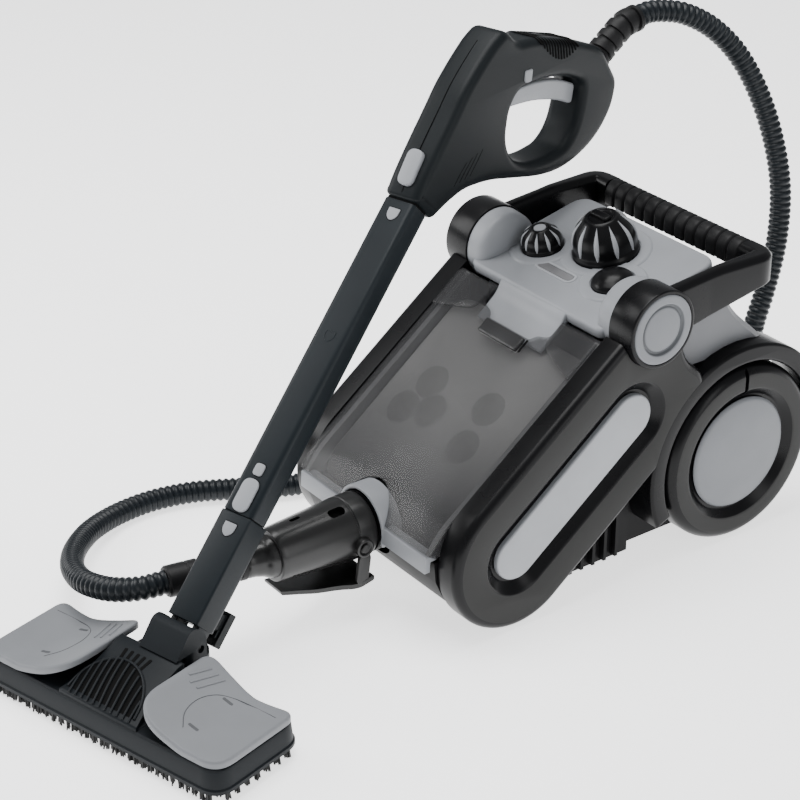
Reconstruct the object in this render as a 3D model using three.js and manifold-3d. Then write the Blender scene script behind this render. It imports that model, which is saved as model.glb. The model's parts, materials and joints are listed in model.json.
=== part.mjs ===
// Canister steam cleaner with its hose, steam gun, wand and floor brush.
// Millimetres, +Z up. The front of the canister faces -Y and the floor is at z = 0.
import * as THREE from "three";
import { mergeVertices } from "three/addons/utils/BufferGeometryUtils.js";
import Module from "manifold-3d";

const kernel = await Module();
kernel.setup();

// ---- driving dimensions -------------------------------------------------------------------
const GAP = 0.3; // clearance between touching pieces
const ORIGIN = { x: 30.6, y: -218.8 }; // middle of the footprint, in canister coordinates

const WHEEL = { y: 121, z: 104.5, radius: 104.5, inner: 106, outer: 146 };
const ARCH = { inner: 108, outer: 128.5, cut: 129.2 };
const DRUM = { y: -16, z: 299, radius: 43, inner: 119, outer: 155 };

const PANEL = { lower: [-190, 85], upper: [-41, 199], radius: 83, inner: 116.3, outer: 146, edge: 7 };
const RECESS = { radius: 40, depth: 10, inlay: 26.5, inlayOuter: 142.5 };
const BODY = { halfWidth: 115, rearHalfWidth: 102, floor: 16, split: 95, wall: 3.5 };

const CASTOR = { y: -170, trail: 8, radius: 12, well: 24, roof: 32 };
const DECK = { y: -61, z: 293, slope: 12.8, halfWidth: 110, length: 166, thickness: 13 };
const CAP = { x: 0, along: 103.6, radius: 37, height: 45 };
const DIAL = { x: -64, along: 67.7, radius: 24, height: 25 };
const BUTTON = { x: 52, along: 67.7, radius: 24, height: 14 };
const WINDOW = { x: -12, along: 43, length: 60, width: 13 };

const SOCKET = { z: 93, radius: 34 };
const PLUG = { back: -288.5, front: -402, backRadius: 35, frontRadius: 28.5, noseLength: 28 };
const LATCH = { y: -309, z: 88 }; // pivot of the plug's latch lever
const NOSE_FOOT = [0, -402, 93];
const CUFF_END = [-20, -513, 93];
const CUFF_LENGTH = 84.5;

const WAND = { x: 46.2, y: -532, turn: 15, pitch: 44.1, foot: 71 };
const TUBE = { halfWidth: 19.5, halfDepth: 17.5, joint: 130, top: 488, bore: 12 };
const NECK = { bottom: 14, pivot: -4 };
const GUN = { halfWidth: 23 };

const BRUSH = { x: -12, y: -56, length: 320, depth: 118, bottom: 12, top: 38, flare: 2.5 };
const HUB = { half: 41, flare: 52, front: -110, waist: -76, step: -31, back: 8, seat: 50, top: 70 };
const PAD = { inner: 33, pivot: 95, outer: 146, thickness: 8, rise: 23 };
const TURNTABLE = { radius: 26, bottom: 50.3, top: 57 };
const HOSE = { radius: 12.9, sides: 8, steps: 56 };

// ---- materials ------------------------------------------------------------------------------
const paint = (color, roughness, metalness = 0) => () =>
  new THREE.MeshStandardMaterial({ color, roughness, metalness });
const blackPlastic = paint(0x151617, 0.25);
const satinBlack = paint(0x1d2022, 0.5);
const darkGrey = paint(0x3a3c3f, 0.55);
const silver = paint(0x9c9fa3, 0.4, 0.2);
const padGrey = paint(0x8c9093, 0.6);
const rubber = paint(0x121314, 0.8);
const steel = paint(0xb4b6b8, 0.35, 1);
const smoky = paint(0x3c3d3f, 0.15);
const circuitGreen = paint(0x1f5a35, 0.5);

// ---- geometry helpers -----------------------------------------------------------------------
function toSolid(geometry) {
  const bare = geometry.index ? geometry.toNonIndexed() : geometry.clone();
  bare.deleteAttribute("normal");
  bare.deleteAttribute("uv");
  const merged = mergeVertices(bare, 1e-4);
  const corners = new Uint32Array(merged.index.array);
  const make = () =>
    new kernel.Manifold(
      new kernel.Mesh({
        numProp: 3,
        vertProperties: merged.attributes.position.array,
        triVerts: corners,
      }),
    );
  const solid = make();
  if (solid.volume() >= 0) return solid;
  for (let i = 0; i < corners.length; i += 3) {
    [corners[i], corners[i + 1]] = [corners[i + 1], corners[i]];
  }
  return make();
}

function fromSolid(solid) {
  const mesh = solid.getMesh();
  const stride = mesh.numProp;
  const points = new Float32Array(mesh.numVert * 3);
  for (let i = 0; i < mesh.numVert; i += 1) {
    points.set(mesh.vertProperties.subarray(i * stride, i * stride + 3), i * 3);
  }
  const geometry = new THREE.BufferGeometry();
  geometry.setAttribute("position", new THREE.BufferAttribute(points, 3));
  geometry.setIndex(new THREE.BufferAttribute(mesh.triVerts, 1));
  return geometry;
}

const fuse = (first, ...others) =>
  fromSolid(others.reduce((sum, other) => sum.add(toSolid(other)), toSolid(first)));
const cut = (base, ...tools) =>
  fromSolid(tools.reduce((rest, tool) => rest.subtract(toSolid(tool)), toSolid(base)));
const keepInside = (base, limit) => fromSolid(toSolid(base).intersect(toSolid(limit)));

// Bases that turn an extrusion so that its outline lies in another plane.
const ALONG_X = new THREE.Matrix4().makeBasis(
  new THREE.Vector3(0, 1, 0),
  new THREE.Vector3(0, 0, 1),
  new THREE.Vector3(1, 0, 0),
);
const ALONG_MINUS_Y = new THREE.Matrix4().makeBasis(
  new THREE.Vector3(1, 0, 0),
  new THREE.Vector3(0, 0, 1),
  new THREE.Vector3(0, -1, 0),
);

// An outline extruded from one level to another, with bevels that stay inside the outline.
function slab(shape, from, to, { bevel = 0, bevelSegments = 1, curveSegments = 3 } = {}) {
  const geometry = new THREE.ExtrudeGeometry(shape, {
    depth: to - from - 2 * bevel,
    bevelEnabled: bevel > 0,
    bevelThickness: bevel,
    bevelSize: bevel,
    bevelOffset: -bevel,
    bevelSegments,
    curveSegments,
    steps: 1,
  });
  return geometry.translate(0, 0, from + bevel);
}
// The outline is in (y, z) and runs along X.
const slabX = (shape, from, to, options) => slab(shape, from, to, options).applyMatrix4(ALONG_X);
// The outline is in (x, z) and runs along -Y, between two distances in front of y = 0.
const slabFront = (shape, from, to, options) =>
  slab(shape, from, to, options).applyMatrix4(ALONG_MINUS_Y);

function block(x0, x1, y0, y1, z0, z1) {
  return new THREE.BoxGeometry(x1 - x0, y1 - y0, z1 - z0).translate(
    (x0 + x1) / 2,
    (y0 + y1) / 2,
    (z0 + z1) / 2,
  );
}

// A closed outline through points, each corner rounded by its own or a shared radius.
function outline(points, radius = 0) {
  const shape = new THREE.Shape();
  const corners = points.map(([x, y, own]) => ({ at: new THREE.Vector2(x, y), round: own ?? radius }));
  corners.forEach(({ at, round }, i) => {
    const before = corners[(i + corners.length - 1) % corners.length].at;
    const after = corners[(i + 1) % corners.length].at;
    const reach = Math.min(round, at.distanceTo(before) * 0.48, at.distanceTo(after) * 0.48);
    const start = at.clone().add(before.clone().sub(at).setLength(reach));
    const end = at.clone().add(after.clone().sub(at).setLength(reach));
    if (i === 0) shape.moveTo(start.x, start.y);
    else shape.lineTo(start.x, start.y);
    if (reach > 0) shape.quadraticCurveTo(at.x, at.y, end.x, end.y);
  });
  shape.closePath();
  return shape;
}

const rectangle = (halfX, halfY, radius) =>
  outline(
    [
      [-halfX, -halfY],
      [halfX, -halfY],
      [halfX, halfY],
      [-halfX, halfY],
    ],
    radius,
  );

// A slot-shaped outline with round ends about two centres.
function capsule([ax, ay], [bx, by], radius) {
  const heading = Math.atan2(by - ay, bx - ax);
  const shape = new THREE.Shape();
  shape.absarc(ax, ay, radius, heading + Math.PI / 2, heading + (3 * Math.PI) / 2, false);
  shape.absarc(bx, by, radius, heading - Math.PI / 2, heading + Math.PI / 2, false);
  shape.closePath();
  return shape;
}

function disc(cx, cy, radius) {
  const shape = new THREE.Shape();
  shape.absarc(cx, cy, radius, 0, 2 * Math.PI, false);
  return shape;
}

// A turned piece about +Z, from [radius, height] points.
function turned(profile, segments = 32) {
  const points = profile.map(([radius, height]) => new THREE.Vector2(radius, height));
  return new THREE.LatheGeometry(points, segments).rotateX(Math.PI / 2);
}
// The same about +X and about -Y.
const turnedX = (profile, segments) => turned(profile, segments).rotateY(Math.PI / 2);
const turnedFront = (profile, segments) => turned(profile, segments).rotateX(Math.PI / 2);

const mirrorX = (geometry) => fromSolid(toSolid(geometry.clone().scale(-1, 1, 1)));

function part(group, name, geometry, material) {
  geometry.deleteAttribute("uv");
  geometry.computeVertexNormals();
  const mesh = new THREE.Mesh(geometry, material());
  mesh.name = name;
  group.add(mesh);
  return mesh;
}

// Adds a right-hand piece and its mirror image on the left.
function pair(group, name, geometry, material) {
  part(group, "right_" + name, geometry, material);
  part(group, "left_" + name, mirrorX(geometry), material);
}

// ---- frame of the object --------------------------------------------------------------------
const steamCleaner = new THREE.Group();
const canister = new THREE.Group();
canister.position.set(-ORIGIN.x, -ORIGIN.y, 0);
steamCleaner.add(canister);

const deck = new THREE.Group(); // x across, y up the slope, z square to the control panel
deck.position.set(0, DECK.y, DECK.z);
deck.rotation.x = THREE.MathUtils.degToRad(DECK.slope);
canister.add(deck);
const deckHeight = (y) => DECK.z + (y - DECK.y) * Math.tan(THREE.MathUtils.degToRad(DECK.slope));

const archCylinder = (radius) =>
  slabX(disc(WHEEL.y, WHEEL.z, radius), -200, 200, { curveSegments: 22 });
const socketCylinder = (radius, back = -240) =>
  slabFront(disc(0, SOCKET.z, radius), -back, 330, { curveSegments: 12 });

// ---- canister casings -------------------------------------------------------------------------
// Height of the side panel's lower edge above the floor at y.
function lowerEdge(y) {
  const [ly, lz] = PANEL.lower;
  const slope = (PANEL.upper[1] - lz) / (PANEL.upper[0] - ly);
  return lz - PANEL.radius * Math.hypot(1, slope) + slope * (y - ly);
}

// The lower casing's side outline, moved inwards by a wall thickness.
function panOutline(wall) {
  const rim = wall > 0 ? BODY.split + 5 : BODY.split;
  return outline([
    [-277 + wall, rim],
    [-275 + wall, 72],
    [-262 + wall, 42 + wall / 2, 14],
    [-226 + wall / 2, BODY.floor + wall, 20],
    [168 - wall / 2, BODY.floor + wall, 25],
    [196 - wall, 44 + wall / 2, 25],
    [206 - wall, rim],
  ]);
}

// Wide in front of the wheels and narrow between them.
function panSolid(wall) {
  const half = BODY.halfWidth - wall;
  const narrow = BODY.rearHalfWidth - wall;
  const front = block(-150, 150, -400, -14 - wall, -10, 200);
  return fuse(
    keepInside(slabX(panOutline(wall), -half, half), front),
    slabX(panOutline(wall), -narrow, narrow),
  );
}

function basePan() {
  const ribs = [];
  for (let y = -132; y <= -36; y += 16) {
    const top = Math.min(lowerEdge(y) - 4, BODY.split - 2);
    for (const side of [-1, 1]) {
      ribs.push(
        block(-5, 5, y - 2, y + 2, BODY.floor + 4, top).translate(side * (BODY.halfWidth + 3), 0, 0),
      );
    }
  }
  const cup = slab(disc(0, CASTOR.y, CASTOR.well + 3), BODY.floor, CASTOR.roof + 3, {
    curveSegments: 10,
  });
  return cut(
    fuse(cut(panSolid(0), panSolid(BODY.wall)), cup, ...ribs),
    slab(disc(0, CASTOR.y, CASTOR.well), 0, CASTOR.roof, { curveSegments: 10 }),
    slab(disc(0, CASTOR.y, 4.4), 0, 60, { curveSegments: 7 }),
    socketCylinder(SOCKET.radius + 7.5),
    slabX(disc(WHEEL.y, WHEEL.z, 6.6), -120, 120, { curveSegments: 8 }),
  );
}

function rearHousing() {
  const front = -42;
  const drop = DECK.thickness + 1.5;
  const back = [
    [92, deckHeight(92) - drop],
    [100, 296, 10],
    [118, 268, 30],
    [165, 226, 40],
    [196, 186, 20],
    [208, 140, 20],
    [206, BODY.split + GAP],
  ];
  const shell = [[front, BODY.split + GAP], [front, deckHeight(front) - drop], ...back];
  const inset = BODY.wall;
  const inner = [
    [front + inset, BODY.split - 5],
    [front + inset, deckHeight(front + inset) - drop - inset],
    [88, deckHeight(88) - drop - inset],
    [96, 292, 10],
    [114, 265, 30],
    [161, 223, 40],
    [192, 184, 20],
    [204, 140, 20],
    [202, BODY.split - 5],
  ];
  const narrow = BODY.rearHalfWidth;
  const wide = keepInside(
    slabX(outline(shell), -125, 125, { bevel: 6, curveSegments: 3 }),
    block(-140, 140, 18, 190, 225, 340),
  );
  const shoulders = cut(
    wide,
    archCylinder(ARCH.cut + GAP),
    slabX(outline(sidePanelPoints()), 115, 150),
    slabX(outline(sidePanelPoints()), -150, -115),
    slabX(disc(DRUM.y, DRUM.z, DRUM.radius + 1), -170, 170, { curveSegments: 14 }),
  );
  const body = fuse(
    slabX(outline(shell), -narrow, narrow, { bevel: 4, curveSegments: 3 }),
    shoulders,
  );
  return cut(
    body,
    slabX(outline(inner), -narrow + inset, narrow - inset, { curveSegments: 3 }),
    slab(disc(0, CAP.along, 22), -60, 20, { curveSegments: 14 })
      .rotateX(THREE.MathUtils.degToRad(DECK.slope))
      .translate(0, DECK.y, DECK.z),
    slab(disc(DIAL.x, DIAL.along, 5.5), -40, 20, { curveSegments: 7 })
      .rotateX(THREE.MathUtils.degToRad(DECK.slope))
      .translate(0, DECK.y, DECK.z),
    slabX(disc(DRUM.y, DRUM.z, DRUM.radius - 2), -140, 140, { curveSegments: 14 }),
    slabX(disc(WHEEL.y, WHEEL.z, 6.6), -140, 140, { curveSegments: 8 }),
  );
}

// Side panel: a sloping slot shape that runs up to the handle drum and back to the wheel arch.
function sidePanelPoints() {
  const [ly, lz] = PANEL.lower;
  const [uy, uz] = PANEL.upper;
  const length = Math.hypot(uy - ly, uz - lz);
  const along = [(uy - ly) / length, (uz - lz) / length];
  const square = [-along[1], along[0]];
  const start = Math.atan2(-square[1], -square[0]);
  const points = [];
  const steps = 14;
  for (let i = 0; i <= steps; i += 1) {
    const angle = start - (Math.PI * i) / steps;
    points.push([ly + PANEL.radius * Math.cos(angle), lz + PANEL.radius * Math.sin(angle)]);
  }
  points.push([-58, 290]);
  points.push([-16, 300]);
  points.push([24, 268]);
  points.push([33, 244]);
  points.push([62, 220]);
  points.push([40, 140]);
  points.push([-2, lowerEdge(-2)]);
  return points;
}

function sidePanel() {
  const whole = slabX(outline(sidePanelPoints()), 100, PANEL.outer, {
    bevel: PANEL.edge,
  });
  const recess = slabX(
    capsule(PANEL.lower, PANEL.upper, RECESS.radius + 4),
    PANEL.outer - RECESS.depth,
    PANEL.outer + 30,
    { bevel: RECESS.depth + 4, curveSegments: 7 },
  );
  const trimmed = keepInside(whole, block(PANEL.inner, 200, -400, 400, 0.8, 400));
  return cut(
    trimmed,
    recess,
    archCylinder(ARCH.cut),
    slabX(disc(DRUM.y, DRUM.z, DRUM.radius + 0.6), 80, 200, { curveSegments: 16 }),
  );
}

function sideInlay() {
  return slabX(
    capsule(PANEL.lower, PANEL.upper, RECESS.inlay),
    PANEL.outer - RECESS.depth + GAP,
    RECESS.inlayOuter,
    { bevel: 2.5, curveSegments: 7 },
  );
}

function wheelArch() {
  const band = new THREE.Shape();
  const start = THREE.MathUtils.degToRad(-8);
  const end = THREE.MathUtils.degToRad(206);
  band.absarc(WHEEL.y, WHEEL.z, ARCH.outer, start, end, false);
  band.absarc(WHEEL.y, WHEEL.z, ARCH.inner, end, start, true);
  band.closePath();
  return slabX(band, BODY.rearHalfWidth + GAP, WHEEL.outer - 3, {
    bevel: 2.5,
    curveSegments: 8,
  });
}

function controlPanel() {
  const plate = slab(
    outline([
      [-DECK.halfWidth, 0, 10],
      [DECK.halfWidth, 0, 10],
      [DECK.halfWidth, DECK.length, 16],
      [-DECK.halfWidth, DECK.length, 16],
    ]),
    -DECK.thickness,
    0,
    { bevel: 4, curveSegments: 6 },
  );
  const apron = slabX(
    outline([
      [3, -1.5],
      [-1.4, -3.8, 3],
      [-10.4, -14, 5],
      [-39, -27.3],
      [-37.9, -31.4],
      [-6.5, -18],
      [3, -12.9],
    ]),
    -54,
    54,
    { bevel: 1.5, curveSegments: 4 },
  );
  const tilt = THREE.MathUtils.degToRad(-DECK.slope);
  const boss = turnedX(
    [
      [0, 90],
      [33, 90.5],
      [38, 93],
      [40, 98],
      [40, DRUM.inner - GAP],
      [0, DRUM.inner - GAP],
    ],
    24,
  );
  const collar = (geometry) =>
    geometry.clone().translate(0, DRUM.y - DECK.y, DRUM.z - DECK.z).rotateX(tilt);
  const underDeck = block(-200, 200, -80, 80, -90, -DECK.thickness - 14);
  const right = cut(collar(boss), underDeck);
  const left = cut(collar(mirrorX(boss)), underDeck);
  return cut(
    fuse(plate, apron, right, left),
    slab(disc(CAP.x, CAP.along, 21), -30, 10, { curveSegments: 10 }),
    slab(disc(DIAL.x, DIAL.along, 4.6), -30, 10, { curveSegments: 7 }),
    slab(disc(BUTTON.x, BUTTON.along, BUTTON.radius + 0.5), -9, 10, { curveSegments: 14 }),
    slab(rectangle(WINDOW.length / 2 + GAP, WINDOW.width / 2 + GAP, 6), -2.5, 10).translate(
      WINDOW.x,
      WINDOW.along,
      0,
    ),
  );
}

function indicatorWindow() {
  return slab(rectangle(WINDOW.length / 2, WINDOW.width / 2, 6), -2.2, 0.8, { bevel: 0.7 }).translate(
    WINDOW.x,
    WINDOW.along,
    0,
  );
}

// ---- knobs on the control panel ---------------------------------------------------------------
// A domed knob with tapering grooves down its side, hollow below when a bore is given.
function flutedKnob({ radius, height, grooves, bore, boreDepth, base }) {
  const dome = turned(
    [
      [0, base],
      [radius, base],
      [radius, base + height * 0.16],
      [radius * 0.97, base + height * 0.4],
      [radius * 0.86, base + height * 0.66],
      [radius * 0.64, base + height * 0.88],
      [radius * 0.5, base + height],
      [0, base + height],
    ],
    24,
  );
  const tools = [];
  for (let i = 0; i < grooves; i += 1) {
    const turn = (2 * Math.PI * i) / grooves;
    const groove = new THREE.CylinderGeometry(radius * 0.04, radius * 0.12, height * 0.82, 4);
    groove.rotateX(Math.PI / 2).rotateY(-0.34).translate(radius * 0.93, 0, base + height * 0.52);
    tools.push(groove.rotateZ(turn));
  }
  if (bore) tools.push(slab(disc(0, 0, bore), base - 5, base + boreDepth, { curveSegments: 10 }));
  return cut(dome, ...tools);
}

function boilerCap() {
  const knob = flutedKnob({
    radius: CAP.radius,
    height: CAP.height,
    grooves: 10,
    bore: 23,
    boreDepth: 14,
    base: GAP,
  });
  const bar = slab(rectangle(13, 5, 3), CAP.height - 2, CAP.height + 3, { bevel: 1 });
  return fuse(knob, bar).translate(CAP.x, CAP.along, 0);
}

function steamDial() {
  const knob = flutedKnob({ radius: DIAL.radius, height: DIAL.height, grooves: 10, base: GAP });
  const stem = slab(disc(0, 0, 4), -22, 2, { curveSegments: 7 });
  return fuse(knob, stem).translate(DIAL.x, DIAL.along, 0);
}

function powerButton() {
  return turned(
    [
      [0, -5.5],
      [BUTTON.radius, -5.5],
      [BUTTON.radius, 1.5],
      [BUTTON.radius * 0.93, 5],
      [BUTTON.radius * 0.72, 9.5],
      [BUTTON.radius * 0.4, 12.8],
      [0, BUTTON.height],
    ],
    24,
  ).translate(BUTTON.x, BUTTON.along, 0);
}

// ---- carry handle -----------------------------------------------------------------------------
function carryHandle() {
  const drum = (inner, outer) =>
    turnedX(
      [
        [0, inner],
        [DRUM.radius, inner],
        [DRUM.radius, outer - 2],
        [DRUM.radius - 2, outer],
        [DRUM.radius - 4, outer],
        [DRUM.radius - 4, outer - 3],
        [0, outer - 3],
      ],
      26,
    ).translate(0, DRUM.y, DRUM.z);
  const centre = new THREE.Shape();
  const half = 144;
  const back = 156;
  centre.moveTo(-half, DRUM.y);
  centre.lineTo(-half, back - 34);
  centre.quadraticCurveTo(-half, back, -half + 34, back);
  centre.lineTo(half - 34, back);
  centre.quadraticCurveTo(half, back, half, back - 34);
  centre.lineTo(half, DRUM.y);
  centre.lineTo(half - 17, DRUM.y);
  centre.lineTo(half - 17, back - 46);
  centre.quadraticCurveTo(half - 17, back - 26, half - 40, back - 26);
  centre.lineTo(-half + 40, back - 26);
  centre.quadraticCurveTo(-half + 17, back - 26, -half + 17, back - 46);
  centre.lineTo(-half + 17, DRUM.y);
  centre.closePath();
  const bar = slab(centre, 0, 52, { bevel: 4, curveSegments: 5 });
  // a lengthwise wedge trims the bar so that it rises towards the grip
  const side = outline([
    [-60, 282],
    [60, 282, 30],
    [170, 309],
    [170, 339],
    [40, 337, 40],
    [-60, 330],
  ]);
  const trimmed = keepInside(bar.translate(0, 0, 288), slabX(side, -160, 160, { curveSegments: 4 }));
  const gripSeat = block(-108, 108, 129, 158, 300, 345);
  const gripCore = slabX(
    outline(
      [
        [137, 317],
        [149, 317],
        [149, 331],
        [137, 331],
      ],
      3,
    ),
    -112,
    112,
  );
  const right = drum(DRUM.inner, DRUM.outer);
  const open = cut(trimmed, gripSeat, slabX(disc(DRUM.y, DRUM.z, DRUM.radius - 8), -119, 119));
  return fuse(open, gripCore, right, mirrorX(right));
}

function handleGrip() {
  const section = outline(
    [
      [129, 311],
      [157, 311],
      [158, 330],
      [150, 340],
      [136, 340],
      [128, 330],
    ],
    3,
  );
  const sleeve = slabX(section, -107, 107, { bevel: 2, curveSegments: 2 });
  const bore = slabX(
    outline(
      [
        [136.6, 316.6],
        [149.4, 316.6],
        [149.4, 331.4],
        [136.6, 331.4],
      ],
      3,
    ),
    -120,
    120,
  );
  return cut(sleeve, bore);
}

function drumDisc() {
  return turnedX(
    [
      [0, DRUM.outer - 3 + GAP],
      [DRUM.radius - 4 - GAP, DRUM.outer - 3 + GAP],
      [DRUM.radius - 4 - GAP, DRUM.outer - 0.5],
      [DRUM.radius - 6, DRUM.outer + 0.8],
      [32, DRUM.outer + 0.8],
      [28, DRUM.outer - 1.4],
      [0, DRUM.outer - 0.4],
    ],
    26,
  ).translate(0, DRUM.y, DRUM.z);
}

// ---- wheels -------------------------------------------------------------------------------------
function wheel() {
  const tyre = turnedX(
    [
      [6.3, WHEEL.inner],
      [98, WHEEL.inner],
      [WHEEL.radius, WHEEL.inner + 7],
      [WHEEL.radius, WHEEL.outer - 8],
      [97, WHEEL.outer],
      [75, WHEEL.outer],
      [67, WHEEL.outer - 9],
      [6.3, WHEEL.outer - 9],
      [6.3, WHEEL.inner],
    ],
    32,
  );
  const notch = block(WHEEL.outer - 5, WHEEL.outer + 5, -3, 3, 74, 101);
  return cut(tyre, notch).translate(0, WHEEL.y, WHEEL.z);
}

function hubDisc() {
  return turnedX(
    [
      [0, WHEEL.outer - 9 + GAP],
      [64, WHEEL.outer - 9 + GAP],
      [66, WHEEL.outer - 7],
      [64, WHEEL.outer - 4.5],
      [50, WHEEL.outer - 1.5],
      [28, WHEEL.outer + 0.6],
      [0, WHEEL.outer + 1.4],
    ],
    28,
  ).translate(0, WHEEL.y, WHEEL.z);
}

function castorFork() {
  const plate = slab(disc(0, CASTOR.y, 20), CASTOR.roof - 4, CASTOR.roof - GAP, { curveSegments: 8 });
  const stem = slab(disc(0, CASTOR.y, 4), CASTOR.roof - 2, CASTOR.roof + 9, { curveSegments: 7 });
  const axle = [CASTOR.y + CASTOR.trail, CASTOR.radius];
  const cheek = (x) =>
    slabX(capsule(axle, [CASTOR.y + CASTOR.trail / 2, CASTOR.roof - 5], 5), x, x + 3, {
      curveSegments: 6,
    });
  const pin = slabX(disc(...axle, 2), -9, 9, { curveSegments: 10 });
  return fuse(plate, stem, cheek(7), cheek(-10), pin);
}

function castorWheel() {
  return turnedX(
    [
      [2.3, -6],
      [CASTOR.radius - 1.5, -6],
      [CASTOR.radius, -4],
      [CASTOR.radius, 4],
      [CASTOR.radius - 1.5, 6],
      [2.3, 6],
      [2.3, -6],
    ],
    24,
  ).translate(0, CASTOR.y + CASTOR.trail, CASTOR.radius);
}

// ---- front cover and trim -------------------------------------------------------------------------
const COVER_OUTER = [
  [-66, 283],
  [-222, 163, 60],
  [-268, 128, 26],
  [-285, 106],
];
const COVER_SKIN = 3;
const COVER_HINGE = { y: -279, z: 107 };

// The cover's side outline, moved inwards by a distance.
function coverOutline(inset, flange) {
  const skin = COVER_OUTER.map(([y, z, round], i) => {
    const lean = i < 2 ? [0.61, -0.79] : [0.86, -0.5];
    return [y + lean[0] * inset, z + lean[1] * inset, round];
  });
  const inner = [...COVER_OUTER].reverse().map(([y, z, round], i) => {
    const lean = i > 1 ? [0.61, -0.79] : [0.86, -0.5];
    return [y + lean[0] * flange, z + lean[1] * flange, round];
  });
  return outline([...skin, ...inner]);
}

function frontCover() {
  const half = BODY.halfWidth + 0.7;
  const skin = slabX(coverOutline(0, 13), -half, half, { bevel: 1.2, curveSegments: 6 });
  const hollow = slabX(coverOutline(COVER_SKIN, 40), -half + COVER_SKIN, half - COVER_SKIN, {
    curveSegments: 6,
  });
  const notch = block(-56, 56, -120, -40, 240, 320);
  return cut(
    skin,
    hollow,
    keepInside(notch, slabX(outline([[-94, 200], [-94, 330], [0, 330], [0, 200]]), -60, 60)),
    socketCylinder(SOCKET.radius + 8),
  );
}

function coverLatch() {
  const tab = outline([
    [-97.5, 265],
    [-113, 252.6],
    [-111, 250.1],
    [-95.5, 262.5],
  ]);
  return slabX(tab, -31, 31, { bevel: 0.6 }).translate(0, -2, 0);
}

function frontTrim() {
  const strip = slabX(
    outline([
      [-287, 84],
      [-286, 103, 2],
      [-272, 103],
      [-272, 96],
      [-279, 96],
      [-280, 84],
    ]),
    -112,
    112,
    { bevel: 1 },
  );
  const arch = new THREE.Shape();
  arch.absarc(0, SOCKET.z, SOCKET.radius + 7, -0.35, Math.PI + 0.35, false);
  arch.absarc(0, SOCKET.z, SOCKET.radius + 1.8, Math.PI + 0.35, -0.35, true);
  arch.closePath();
  return fuse(
    cut(strip, socketCylinder(SOCKET.radius + 3)),
    slabFront(arch, 262, 287, { bevel: 1.5, curveSegments: 8 }),
  );
}

function hoseSocket() {
  return turnedFront(
    [
      [14, 246],
      [SOCKET.radius, 246],
      [SOCKET.radius, 286],
      [26, 286],
      [26, 262],
      [14, 262],
      [14, 246],
    ],
    24,
  ).translate(0, 0, SOCKET.z);
}

// ---- inner pieces -----------------------------------------------------------------------------------
function waterTank() {
  const shell = [
    [-80, 258, 20],
    [-222, 148, 50],
    [-256, 120, 20],
    [-262, 99],
    [-47, 99, 8],
    [-47, 240, 20],
  ];
  const inner = [
    [-80, 254, 20],
    [-222, 144, 50],
    [-252, 118, 20],
    [-258, 102],
    [-50, 102, 8],
    [-50, 238, 20],
  ];
  const outletHole = slabX(disc(-48, 112, 6), -6, 6);
  return cut(
    slabX(outline(shell), -104, 104, { bevel: 5, curveSegments: 4 }),
    slabX(outline(inner), -100, 100, { curveSegments: 4 }),
    socketCylinder(SOCKET.radius + 3, -241),
    outletHole,
  );
}

function steamBoiler() {
  return turned(
    [
      [0, -178],
      [44, -178],
      [50, -170],
      [50, -66],
      [43, -52],
      [20, -44],
      [20, 9],
      [17, 9],
      [17, -46],
      [41, -55],
      [47, -67],
      [47, -168],
      [42, -175],
      [0, -175],
    ],
    26,
  ).translate(CAP.x, CAP.along, 0);
}

function heaterPlate() {
  return turned(
    [
      [0, -190],
      [42, -190],
      [42, -178 - GAP],
      [0, -178 - GAP],
    ],
    28,
  ).translate(CAP.x, CAP.along, 0);
}

function waterPump() {
  return fuse(
    slabX(disc(-14, 50, 19), -34, 34, { curveSegments: 10, bevel: 2 }),
    slabX(disc(-14, 50, 8), 33, 50, { curveSegments: 7 }),
    block(-28, 28, -30, 2, BODY.floor + BODY.wall + GAP, 34),
  );
}

const STEAM_PIPE_ROUTE = [
  [0, 60, 92],
  [0, 40, 84],
  [60, 0, 76],
  [60, -80, 72],
  [20, -180, 80],
  [0, -225, 92],
  [0, -245.5, 93],
];

function controlBoard() {
  return fuse(
    block(-62, 62, -33, -31.2, 180, 252),
    block(-40, -18, -31.5, -12, 196, 224),
    block(8, 26, -31.5, -18, 204, 240),
  );
}

// ---- hose plug ----------------------------------------------------------------------------------------
function hosePlug() {
  const barrel = turnedFront(
    [
      [0, -PLUG.back],
      [PLUG.backRadius, -PLUG.back],
      [PLUG.backRadius, 310],
      [PLUG.backRadius - 1.2, 311],
      [PLUG.backRadius - 1.2, 312],
      [PLUG.backRadius - 0.4, 313],
      [PLUG.frontRadius, -PLUG.front - 4],
      [PLUG.frontRadius - 3, -PLUG.front],
      [0, -PLUG.front],
    ],
    26,
  ).translate(0, 0, SOCKET.z);
  const nose = turned(
    [
      [0, -8],
      [24, -8],
      [22, 5],
      [17.5, 20],
      [16.5, PLUG.noseLength],
      [0, PLUG.noseLength],
    ],
    22,
  );
  const stubs = slabX(disc(LATCH.y, LATCH.z, 5), -42, 42, { curveSegments: 7 });
  return fuse(barrel, aim(nose, NOSE_FOOT, CUFF_END), stubs);
}

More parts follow.
